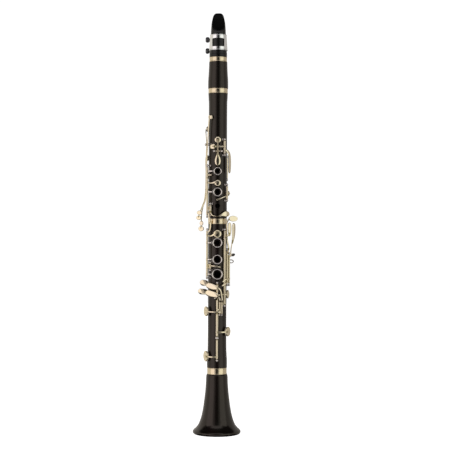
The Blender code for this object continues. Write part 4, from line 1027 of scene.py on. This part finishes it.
def make_ligature():
    """Sleeve with rolled edges and an arched window, split at the back between its lugs, and its screws."""
    low, high = 605.8, 630.7
    rise, skin, roll = 0.35, 0.75, 0.32
    inner_low, inner_high = (radius_on(MOUTHPIECE_OUTLINE, z, 0.0) + rise for z in (low, high))
    outer_low, outer_high = inner_low + skin, inner_high + skin
    wall = [(inner_low, low), (outer_low + roll, low), (outer_low + roll, low + 0.9), (outer_low, low + 1.25),
            (outer_high, high - 1.25), (outer_high + roll, high - 0.9), (outer_high + roll, high),
            (inner_high, high)]
    shell = Shell()
    shell.upright(rounded(wall, 0.25, 3, True), BODY_SIDES)
    window = Shell()
    arch = [(9.5 * math.cos(t), 623.4 + 1.4 * math.sin(t)) for t in (math.pi * k / 14.0 for k in range(15))]
    window.prism(rounded([(-9.5, 611.4), (9.5, 611.4), *arch], 1.0, 2, True), -20.0, -1.0)
    shell = cut(shell, window)
    split = Shell()
    split.prism([(-1.0, 600.0), (1.0, 600.0), (1.0, 640.0), (-1.0, 640.0)], 9.0, 25.0)
    shell = cut(shell, split)
    for z in SCREW_HEIGHTS:
        for side in (-1.0, 1.0):
            lug = [(13.0, z - LUG_HALF), (19.2, z - LUG_HALF), (19.2, z + LUG_HALF), (13.0, z + LUG_HALF)]
            shell.prism(rounded(lug, 1.5, 5, True), side * 1.05, side * 4.6, along_x=True)
    piece("ligature_sleeve", shell, "ligature", "head", ["ligature_band"])
    for name, z in zip(("ligature_screw_lower", "ligature_screw_upper"), SCREW_HEIGHTS):
        screw = Shell()
        outline = [(0.0, 5.0), (1.9, 5.0), (1.9, 8.6), (1.5, 9.0), (1.5, 13.8), (2.8, 14.1), (3.8, 14.9),
                   (4.35, 16.0), (4.5, 17.4), (4.35, 18.6), (3.8, 19.6), (2.9, 20.3), (1.7, 20.5),
                   (1.3, 20.2),
                   (0.0, 20.2)]
        centre = Vector((0.0, SCREW_Y, z)) * MM
        way = Vector((-1.0, 0.0, 0.0))
        screw.turn(rounded(outline, 0.3, 3), centre, way, 144, knurl=0.22, ridges=24)
        threads = [(0.0, -6.6)]
        for k in range(22):
            threads += [(1.15, -6.4 + k * 0.54), (0.95, -6.13 + k * 0.54)]
        threads += [(1.15, 5.6), (0.0, 5.6)]
        screw.turn(threads, centre, way, 20)
        piece(name + "_knurled", screw, "screw_plate", name, [name])


def make_barrel():
    side = flowing([(15.85, 545.9), (15.9, 551.0), (15.75, 559.0), (15.1, 569.0), (14.65, 578.0),
                    (14.4, 587.7)], 5)
    outline = [(SOCKET, BARREL_FOOT), (BARREL_LOWER_SEAT, BARREL_FOOT), (BARREL_LOWER_SEAT, 545.9), *side,
               (BARREL_UPPER_SEAT, 587.7), (BARREL_UPPER_SEAT, BARREL_TOP), (SOCKET, BARREL_TOP),
               (SOCKET, 575.0),
               (BORE, 575.0), (BORE, 556.5), (SOCKET, 556.5)]
    shell = Shell()
    shell.upright(rounded(outline, 0.15, 2, True), BODY_SIDES)
    piece("barrel_wood", shell, "grenadilla", "head", ["barrel"])


# ---- keywork -------------------------------------------------------------------------------------------


def pad_and_cup(shell, owner):
    """Add the owner's cup, and make its pad."""
    angle, height, radius, face, deep = PAD_PLACES[owner]
    thick = min(PAD_THICK, face - GAP - PAD_FACE)
    low = face - GAP - thick
    pad = Shell()
    outline = [(0.0, low), (radius - 0.75, low), (radius - 0.45, low + thick * 0.5), (radius - 0.6, face),
               (0.0, face)]
    pad.turn(rounded(outline, 0.3, 3), at(angle, 0.0, height), outward(angle), ROUND_SIDES)
    piece(owner + "_pad_skin", pad, "pad_skin", owner, [owner + "_pad"])
    shell.cup(angle, face, height, radius, deep)


def ring_arm(shell, rod, height, outer, inner):
    """Arm from a left-hand rod that flares into the near edge of a front finger ring."""
    middle = (outer + inner) * 0.5
    level = RING_FACE + RING_THICK * 0.5

    def on_ring(side, lift=0.0):
        """Place level with the ring, `side` millimetres to the left of its middle."""
        return (math.degrees(math.atan2(-side, level)), math.hypot(side, level + lift), height)

    shell.bar([(*rod, height, 3.2), (rod[0] * 0.88, 20.3, height, 2.0), (rod[0] * 0.74, 19.8, height, 1.7),
               (*on_ring(outer + 2.4, 0.5), 1.7, 1.4), (*on_ring(outer + 1.1, 0.2), 2.6, 1.3),
               (*on_ring(outer - 0.1), 6.4, 1.2), (*on_ring(middle), 8.4, 1.0)],
              1.8, 1.5, power=4.0, ends=(True, False), spacing=0.5)


# Keys.
# tube: (angle, distance out, bottom, top, radius, heights of beads); tubes: a list of these
# cross: (see-saw axis, one end, other end)
# arms and hoops: finger rings
# bars: (places, width, thickness[, ridge[, facing]]), as Shell.bar takes them
# plates: (middle, length, width)
# rod: bottom and top of a rod that joins two tubes
KEYS = {
    "register_key": {
        "cross": (REGISTER_AXIS, -3.0, 3.0),
        "bars": [([(180.0, 19.0, 503.0, 2.4), (180.0, 19.0, 496.0), (180.0, 18.4, 488.0),
                   (180.0, 17.8, 468.0),
                   (180.0, 18.4, 456.0), (180.0, 20.0, 446.0, 4.0), (180.0, 20.2, 438.0, 7.0),
                   (180.0, 19.8, 430.8, 5.6)], 3.0, 1.5, 0.5)],
    },
    "thumb_ring_key": {
        "tube": (*THUMB_ROD, 404.1, 436.5, TUBE, (422.0, 431.0)),
        "hoops": [(180.0, *THUMB_RING)],
        "bars": [([(*THUMB_ROD, 422.0), (146.0, 18.2, 422.0), (162.5, 17.5, 422.0, 3.4)], 2.2, 1.4),
                 ([(*THUMB_ROD, 431.0), (138.0, 20.4, 431.0), (155.0, 20.5, 431.0, 1.8)], 2.4, 1.3)],
    },
    "a_key": {
        "cross": (A_AXIS, -3.7, 3.7),
        "bars": [([(0.0, 19.2, 465.0, 1.5), (0.0, 19.5, 461.0, 2.2), (0.0, 20.0, 455.0, 2.3, 1.1),
                   (0.0, 19.8, 450.0, 2.2, 1.1),
                   (0.0, 18.8, 446.0, 2.4), (0.0, 19.4, 441.0, 2.8), (0.0, 19.8, 434.5, 8.4),
                   (0.0, 19.8, 428.5, 9.6),
                   (0.0, 19.4, 423.2, 5.2)], 2.4, 1.5, 1.1)],
    },
    "g_sharp_key": {
        "tube": (*G_SHARP_ROD, 442.4, 462.4, TUBE, (453.5,)),
        "bars": [([(*G_SHARP_ROD, 453.5, 2.6), (22.0, 16.9, 453.3), (-9.0, 16.8, 453.3), (-16.0, 18.8, 453.5),
                   (-23.0, 19.2, 453.5, 2.0), (-29.0, 19.1, 453.5, 1.3)], 2.2, 1.0),
                 ([(*G_SHARP_ROD, 448.5, 3.0), (46.0, 20.2, 446.8, 4.2), (57.0, 21.0, 443.0, 6.2),
                   (62.0, 21.2, 436.0, 8.0), (62.5, 21.2, 426.0, 8.4), (62.5, 21.0, 417.0, 7.8),
                   (62.0, 20.8, 411.6, 5.6)], 3.0, 1.6, 0.5)],
    },
    "side_key_1": {
        "cross": (TRILL_AXIS, 0.35, 3.25),
        "bars": [([(-43.5, 19.2, 500.6, 1.6), (-45.0, 19.3, 497.0, 2.2), (-50.0, 18.8, 490.0),
                   (-56.0, 18.4, 476.0),
                   (-61.0, 18.4, 457.0), (-66.0, 18.8, 440.0), (-68.0, 19.0, 426.0), (-68.0, 19.6, 373.0),
                   (-69.0, 23.8, 361.0), (-70.0, 28.8, 352.0)], 2.3, 1.5)],
        "plates": [((-28.5, -10.8, 349.2), 9.0, 6.8)],
    },
    "side_key_2": {
        "cross": (TRILL_AXIS, -3.25, -0.35),
        "bars": [([(-107.0, 19.2, 482.4, 1.6), (-102.0, 19.4, 480.5, 2.2), (-92.0, 19.0, 475.0),
                   (-80.0, 18.4, 467.0),
                   (-72.0, 18.4, 457.0), (-75.0, 18.8, 443.0), (-76.5, 19.0, 426.0), (-76.5, 19.6, 373.0),
                   (-78.5, 24.6, 360.0), (-80.5, 30.0, 346.0), (-80.4, 30.2, 341.2)], 2.3, 1.5)],
        "plates": [((-29.6, -5.0, 341.2), 9.0, 6.8)],
    },
    "side_key_3": {
        "cross": (SIDE_AXIS, 0.25, 3.15),
        "bars": [([(-98.0, 19.2, 437.0, 1.6), (-97.8, 19.3, 432.0, 2.2), (-97.0, 19.4, 426.0),
                   (-96.0, 18.8, 416.0),
                   (-95.7, 18.4, 386.0), (-95.0, 19.4, 373.0), (-94.0, 24.0, 359.0), (-92.5, 25.6, 346.0),
                   (-91.0, 25.6, 335.0)], 2.3, 1.5)],
        "plates": [((-25.5, 0.6, 332.5), 6.5, 8.0)],
    },
    "side_key_4": {
        "cross": (SIDE_AXIS, -3.15, -0.25),
        "bars": [([(-117.5, 19.2, 409.0, 1.6), (-115.0, 19.3, 405.0, 2.2), (-111.0, 19.2, 399.0),
                   (-106.5, 18.6, 393.0),
                   (-106.3, 18.4, 386.0), (-104.5, 19.4, 373.0), (-102.5, 24.0, 359.0), (-100.0, 26.0, 346.0),
                   (-98.0, 26.2, 324.0)], 2.3, 1.5)],
        "plates": [((-26.0, 3.6, 324.0), 10.0, 8.0)],
    },
    "first_ring_key": {
        "tube": (*LEFT_ROD, 405.0, 421.0, TUBE, (414.6,)),
        "arms": [(LEFT_ROD, *FIRST_RING)],
        "hoops": [(0.0, *FIRST_RING)],
        "bars": [([(*LEFT_ROD, 408.6), (-30.0, 18.6, 408.6)], 1.8, 1.3)],
    },
    "second_ring_key": {
        "tube": (*LEFT_ROD, 345.4, 404.6, TUBE, (397.5, 382.0, 349.5)),
        "arms": [(LEFT_ROD, *SECOND_RING)],
        "hoops": [(0.0, *SECOND_RING)],
        "bars": [([(*LEFT_ROD, 397.0, 2.8), (-38.0, 20.4, 396.0, 2.0), (-24.0, 20.9, 395.6, 2.0),
                   (-11.0, 21.2, 397.2, 3.0), (0.0, 21.3, 398.6, 2.2), (6.0, 21.2, 398.6, 1.0)], 2.4, 1.3),
                 ([(*LEFT_ROD, 349.0), (-44.0, 21.0, 348.6), (-39.5, 21.4, 345.0, 2.8),
                   (-39.5, 20.2, 333.5, 2.8)], 2.6, 1.3)],
    },
    "upper_e_flat_key": {
        "tube": (*SLIVER_ROD, 370.8, 391.0, TUBE, (380.0,)),
        "bars": [([(*SLIVER_ROD, 376.0), (32.0, 18.7, 374.2), (12.0, 18.4, 371.2), (2.0, 18.2, 369.9, 2.6),
                   (-5.6, 18.2, 369.0, 2.4)], 2.0, 1.4, 0.3),
                 ([(*SLIVER_ROD, 380.0), (66.0, 20.0, 380.0), (82.0, 19.2, 380.0), (89.0, 19.2, 380.0, 1.6)],
                  2.2, 1.4)],
    },
    "c_sharp_g_sharp_key": {
        "tube": (*C_SHARP_ROD, 347.2, 361.0, TUBE, ()),
        "bars": [([(*C_SHARP_ROD, 352.2), (-34.0, 19.2, 349.2), (-27.0, 19.4, 345.4), (-14.0, 19.4, 343.9),
                   (0.0, 19.4, 343.7), (12.0, 19.4, 344.3), (24.0, 19.8, 346.0, 5.0),
                   (36.0, 20.2, 347.4, 8.2),
                   (50.0, 20.6, 347.6, 8.6), (62.0, 20.8, 346.6, 5.0)], 2.0, 1.5, 0.4),
                 ([(C_SHARP_ROD[0], 18.0, 356.0), (-51.0, 17.2, 356.0)], 2.2, 1.0)],
    },
    "lower_ring_key": {
        "tube": (*LOWER_LEFT_ROD, 248.9, 320.4, TUBE, (252.6, 275.7, 302.0, 314.5)),
        "arms": [(LOWER_LEFT_ROD, *ring) for ring in LOWER_RINGS],
        "hoops": [(0.0, *ring) for ring in LOWER_RINGS],
        "bars": [([(*LOWER_LEFT_ROD, 313.5, 2.8), (-40.0, 20.4, 312.6, 2.0), (-27.0, 20.8, 312.6, 2.0),
                   (-12.0, 21.2, 315.6, 3.4), (-2.0, 21.3, 318.4, 2.8), (6.0, 21.3, 319.6, 1.2)], 2.4, 1.3),
                 ([(*LOWER_LEFT_ROD, 318.4), (-43.5, 18.8, 319.6), (-39.5, 17.6, 325.0, 2.8),
                   (-39.5, 17.3, 336.5, 2.8)], 2.6, 1.2)],
    },
    "fork_key": {
        "tube": (*FORK_ROD, 261.2, 268.8, TUBE, ()),
        "bars": [([(*FORK_ROD, 265.8), (-20.0, 18.8, 265.6, 2.2), (-2.0, 18.4, 264.8, 2.6),
                   (10.0, 18.2, 264.2, 2.4),
                   (16.0, 18.2, 263.6, 1.6)], 2.0, 1.4, 0.3),
                 ([(FORK_ROD[0], 18.0, 265.0), (-60.0, 17.2, 265.0)], 2.2, 1.0)],
    },
    "a_flat_e_flat_key": {
        "tube": (*MAIN_ROD, 217.2, 236.7, TUBE, (234.4,)),
        "bars": [([(*MAIN_ROD, 234.4), (-14.0, 18.6, 235.0), (-38.0, 18.6, 237.4), (-46.0, 19.5, 238.4),
                   (-50.0, 20.6, 238.6)], 2.4, 1.3),
                 ([(-44.5, 19.3, 238.2, 5.0), (-50.0, 20.9, 238.4, 8.6), (-56.0, 23.2, 238.6, 9.6),
                   (-62.4, 25.9, 239.0, 9.6), (-68.9, 29.2, 239.6, 8.0)], 8.0, 1.7, 0.7),
                 ([(*MAIN_ROD, 219.4), (14.0, 18.0, 220.4), (25.0, 18.2, 220.7), (32.0, 21.4, 220.7),
                   (48.0, 21.6, 220.7), (62.0, 20.0, 220.7), (70.0, 19.2, 220.7), (78.0, 19.2, 220.7, 1.6)],
                  2.2, 1.4)],
    },
    "f_sharp_c_sharp_key": {
        "tube": (*F_SHARP_ROD, 190.4, 212.6, SLIM_TUBE, (193.4,)),
        "bars": [([(3.0, 24.8, 230.2, 4.0), (-4.0, 23.7, 231.4, 7.6), (-16.0, 22.7, 232.6, 9.4),
                   (-32.0, 22.9, 234.2, 9.6), (-45.0, 24.6, 235.8, 8.0)], 8.0, 1.9, 0.9),
                 ([(-4.0, 23.2, 232.0, 4.0), (8.0, 22.8, 230.5), (16.0, 21.8, 226.5), (20.0, 21.6, 216.5),
                   (F_SHARP_ROD[0], 20.9, 211.5), (F_SHARP_ROD[0], 18.8, 208.5)], 2.0, 1.3),
                 ([(*F_SHARP_ROD, 193.4), (14.0, 21.8, 193.4), (-8.0, 22.2, 193.4), (-40.0, 22.2, 193.6),
                   (-58.0, 21.8, 193.7), (-68.0, 21.5, 193.7, 1.6)], 2.3, 1.4),
                 ([(*F_SHARP_ROD, 205.8), (31.0, 19.9, 205.8)], 2.2, 1.0)],
    },
    "f_c_touch_lever": {
        "tube": (*F_ROD, 190.4, 212.6, SLIM_TUBE, (197.0,)),
        "bars": [([(F_ROD[0], 18.8, 209.0), (F_ROD[0], 21.0, 212.0), (8.0, 21.4, 215.5), (-2.0, 21.4, 220.6),
                   (-12.0, 20.9, 223.4), (-22.0, 19.7, 224.6), (-40.0, 19.0, 225.0), (-50.0, 20.0, 225.0)],
                  2.0, 1.3),
                 ([(-46.0, 19.3, 224.4, 5.0), (-53.0, 21.4, 224.6, 8.6), (-60.0, 25.0, 224.8, 9.4),
                   (-66.0, 28.4, 225.2, 9.4), (-71.4, 31.8, 225.8, 8.0)], 8.0, 1.7, 0.7),
                 ([(*F_ROD, 197.0), (6.0, 20.9, 197.0, 2.2), (-3.0, 21.3, 197.0)], 2.0, 1.0)],
    },
    "f_c_key": {
        "tube": (*MAIN_ROD, 155.4, 190.4, F_KEY_TUBE, (161.5,)),
        "bars": [([(MAIN_ROD[0], ROD_LOW + 0.6, 161.5), (20.0, 20.6, 161.5), (40.0, 21.4, 161.8),
                   (54.0, 21.6, 162.0),
                   (64.0, 21.4, 162.0, 1.6)], 2.5, 1.4)],
    },
    "e_b_key": {
        "tubes": [(*MAIN_ROD, 119.3, 150.0, TUBE, (122.6,)), (*MAIN_ROD, 191.2, 214.9, TUBE, (193.0,))],
        "rod": (148.0, 193.0),
        "bars": [([(*MAIN_ROD, 122.6), (-20.0, 20.8, 122.6), (-44.0, 21.4, 122.8), (-58.0, 21.6, 123.0),
                   (-68.0, 21.4, 123.0, 1.6)], 2.5, 1.4),
                 ([(MAIN_ROD[0], 18.8, 212.4, 3.0), (-7.0, 21.8, 214.4, 4.0), (-7.0, 23.2, 217.0, 6.0)], 3.0,
                  1.4),
                 ([(5.5, 25.5, 218.6, 4.0), (-3.0, 24.2, 219.8, 8.0), (-18.0, 23.1, 221.2, 9.8),
                   (-34.0, 23.4, 222.8, 10.0), (-47.0, 25.1, 224.2, 8.4)], 8.0, 1.9, 0.9)],
    },
    "lh_f_sharp_c_sharp_lever": {
        "tube": (*LH_F_SHARP_TUBE, TUBE, (309.0, 207.0)),
        "bars": [([(*LH_F_SHARP_ROD, 309.0), (41.5, 21.8, 311.5), (50.0, 23.1, 314.5, 4.0),
                   (54.5, 23.3, 318.0, 3.6)], 2.2, 1.5),
                 ([(54.5, 23.3, 312.5, 3.0), (54.5, 23.3, 318.5, 6.0), (54.5, 23.3, 325.0, 6.8),
                   (54.5, 23.3, 330.5, 6.2), (54.5, 23.1, 334.0, 4.0)], 5.0, 1.6, 0.4, 30.0),
                 ([(*LH_F_SHARP_ROD, 207.0), (31.0, 17.6, 207.0), (27.5, 17.3, 207.0)], 2.2, 1.3)],
    },
    "lh_e_b_lever": {
        "tube": (*LH_E_TUBE, TUBE, (240.6,)),
        "bars": [([(LH_E_ROD[0], 19.8, 285.0), (LH_E_ROD[0], 22.1, 287.5), (LH_E_ROD[0], 22.1, 294.0)],
                  2.2, 1.5),
                 ([(LH_E_ROD[0], 22.1, 290.0, 2.4), (53.0, 21.7, 296.0, 3.2), (51.5, 20.4, 302.0, 3.0),
                   (50.0, 19.6, 308.5, 2.4), (49.0, 19.4, 312.0, 2.0)], 2.6, 1.4, 0.2, 30.0),
                 ([(50.0, 19.6, 307.0), (48.5, 19.4, 312.0), (48.5, 19.4, 328.0), (45.0, 20.6, 333.0),
                   (45.0, 23.2, 337.4), (50.0, 24.6, 339.8)], 2.2, 1.5),
                 ([(*LH_E_ROD, 240.6), (47.5, 21.4, 240.0), (32.0, 21.6, 236.6), (20.0, 21.6, 234.2)],
                  2.2, 1.3)],
        "plates": [((24.6, -13.4, 340.0), 15.2, 9.0)],
    },
    "lh_f_c_lever": {
        "tube": (*LH_F_TUBE, TUBE, (245.4,)),
        "bars": [([(LH_F_ROD[0], 20.2, 279.0), (LH_F_ROD[0], 22.5, 281.5), (LH_F_ROD[0], 22.5, 290.0),
                   (71.0, 23.6, 298.0), (73.0, 25.0, 306.5)], 2.2, 1.5),
                 ([(72.4, 24.4, 300.5, 2.4), (74.4, 25.8, 308.5, 4.6), (75.2, 26.4, 316.0, 6.8),
                   (75.5, 26.5, 325.0, 7.4), (75.5, 26.5, 330.4, 6.4), (75.5, 26.5, 333.2, 4.0)],
                  5.0, 1.6, 0.4, 42.0),
                 ([(*LH_F_ROD, 245.4), (65.0, 22.2, 245.4), (50.0, 22.4, 245.2), (36.0, 22.2, 244.6),
                   (22.0, 22.0, 240.4)], 2.2, 1.3)],
    },
}

# The way that the side keys' and the left-hand levers' touches face
SIDE_FACING = Vector((-0.5, -0.866, 0.0)).normalized()
LEVER_FACING = Vector((0.35, -0.93, 0.1)).normalized()


def make_keys():
    for name, key in KEYS.items():
        shell = Shell()
        for tube in key.get("tubes", [key["tube"]] if "tube" in key else []):
            shell.tube(*tube)
        if "cross" in key:
            shell.cross_tube(*key["cross"])
        if "rod" in key:
            shell.peg(*(at(*MAIN_ROD, height) for height in key["rod"]), INNER_ROD)
        shell.silvery = True
        for arm in key.get("arms", []):
            ring_arm(shell, *arm)
        for angle, height, outer, inner in key.get("hoops", []):
            shell.hoop(angle, RING_FACE, height, outer, inner, RING_THICK)
        shell.silvery = False
        for bar in key["bars"]:
            shell.bar(*bar)
        for place, length, width in key.get("plates", []):
            facing = LEVER_FACING if name.startswith("lh_") else SIDE_FACING
            shell.plate(Vector(place) * MM, facing, length, width)
        if name in PAD_PLACES:
            pad_and_cup(shell, name)
        silvery = "post_plate" if "hoops" in key else None
        piece(name + "_plated", shell, "key_plate", name, [name], silvery=silvery)


# ---- studio ---------------------------------------------------------------------------------------------


def stage_material(name, colour, glow):
    """Plain matt material that glows white."""
    made = bpy.data.materials.new(name)
    made.use_nodes = True
    shader = made.node_tree.nodes["Principled BSDF"]
    shader.inputs["Base Color"].default_value = (*colour, 1.0)
    shader.inputs["Roughness"].default_value = 0.9
    shader.inputs["Specular IOR Level"].default_value = 0.1
    shader.inputs["Emission Color"].default_value = (1.0, 1.0, 1.0, 1.0)
    shader.inputs["Emission Strength"].default_value = glow
    return made


def hide_from_light(thing):
    """Seen by the camera only, so that it neither lights the object nor shows in its gloss."""
    thing.visible_diffuse = False
    thing.visible_glossy = False
    thing.visible_transmission = False
    thing.visible_shadow = False


def make_stage():
    """Pale floor just under the bell, and a pale dome round everything."""
    data = bmesh.new()
    bmesh.ops.create_circle(data, cap_ends=True, segments=96, radius=9.0)
    floor = raw_object("floor", data)
    floor.location.z = -0.0002
    floor.data.materials.append(stage_material("pale_floor", (0.8, 0.8, 0.8), 1.0))
    hide_from_light(floor)
    data = bmesh.new()
    bmesh.ops.create_uvsphere(data, u_segments=64, v_segments=32, radius=9.5)
    dome = raw_object("backdrop", data)
    dome.data.materials.append(stage_material("pale_backdrop", (0.0, 0.0, 0.0), 1.05))
    hide_from_light(dome)


PANEL_DISTANCE = 2.1
INSTRUMENT_MIDDLE = Vector((0.0, 0.0, 0.33))


def panel(name, azimuth, elevation, spread, tall, radiance, tint):
    """Soft rectangular light aimed at the instrument, `spread` degrees wide as the instrument sees it."""
    data = bpy.data.lights.new(name, "AREA")
    data.shape = "RECTANGLE"
    data.size = 2.0 * PANEL_DISTANCE * math.tan(math.radians(spread * 0.5))
    data.size_y = tall
    data.energy = radiance * math.pi * data.size * data.size_y
    data.color = tint
    lamp = bpy.data.objects.new(name, data)
    lift = math.radians(elevation)
    way = outward(azimuth) * math.cos(lift) + UP * math.sin(lift)
    lamp.location = INSTRUMENT_MIDDLE + way * PANEL_DISTANCE
    lamp.rotation_euler = way.to_track_quat("Z", "Y").to_euler()
    lamp.visible_camera = False
    bpy.context.scene.collection.objects.link(lamp)


def make_lights():
    """Tall panels with a dark gap at the camera: dim by the gap, then bright, then softer behind.

    One panel above and one below light the tops and bottoms of the finger rings.
    """
    world = bpy.data.worlds.new("studio")
    world.use_nodes = True
    sky = world.node_tree.nodes["Background"]
    sky.inputs["Color"].default_value = (0.9, 0.92, 0.95, 1.0)
    sky.inputs["Strength"].default_value = 0.02
    bpy.context.scene.world = world
    rosy, leafy, neutral = (1.0, 0.935, 0.93), (0.985, 1.0, 0.94), (1.0, 0.98, 1.0)
    panel("left_panel", -52.0, 0.0, 46.0, 2.8, 1.1, rosy)
    panel("left_edge_panel", -21.5, 0.0, 15.0, 2.8, 0.36, rosy)
    panel("left_back_panel", -127.0, 0.0, 104.0, 2.8, 0.7, (1.0, 0.95, 0.86))
    panel("right_panel", 51.0, 0.0, 46.0, 2.8, 0.98, leafy)
    panel("right_edge_panel", 21.5, 0.0, 15.0, 2.8, 0.34, leafy)
    panel("right_back_panel", 127.0, 0.0, 104.0, 2.8, 0.46, (1.0, 0.95, 0.88))
    panel("top_panel", 0.0, 48.0, 60.0, 1.05, 0.85, neutral)
    panel("low_panel", 0.0, -48.0, 60.0, 1.05, 0.7, neutral)


# Camera, level with the instrument's middle: place in metres, lens in millimetres, roll in degrees
CAMERA_PLACE = (0.0118, -2.05, 0.330)
CAMERA_LENS = 103.55
CAMERA_ROLL = -0.25


def make_camera():
    data = bpy.data.cameras.new("camera")
    data.sensor_width = 36.0
    data.lens = CAMERA_LENS
    data.clip_start = 0.05
    data.clip_end = 60.0
    camera = bpy.data.objects.new("camera", data)
    camera.location = CAMERA_PLACE
    camera.rotation_euler = (math.radians(90.0), math.radians(CAMERA_ROLL), 0.0)
    bpy.context.scene.collection.objects.link(camera)
    bpy.context.scene.camera = camera


def set_view():
    settings = bpy.context.scene.view_settings
    settings.view_transform = "Standard"
    settings.look = "None"
    settings.exposure = 0.0


make_camera()
make_bell()
make_joints()
make_rings()
make_corks()
make_posts()
make_springs()
make_thumb_rest()
make_mouthpiece()
make_reed()
make_ligature()
make_barrel()
make_keys()
make_stage()
make_lights()
set_view()
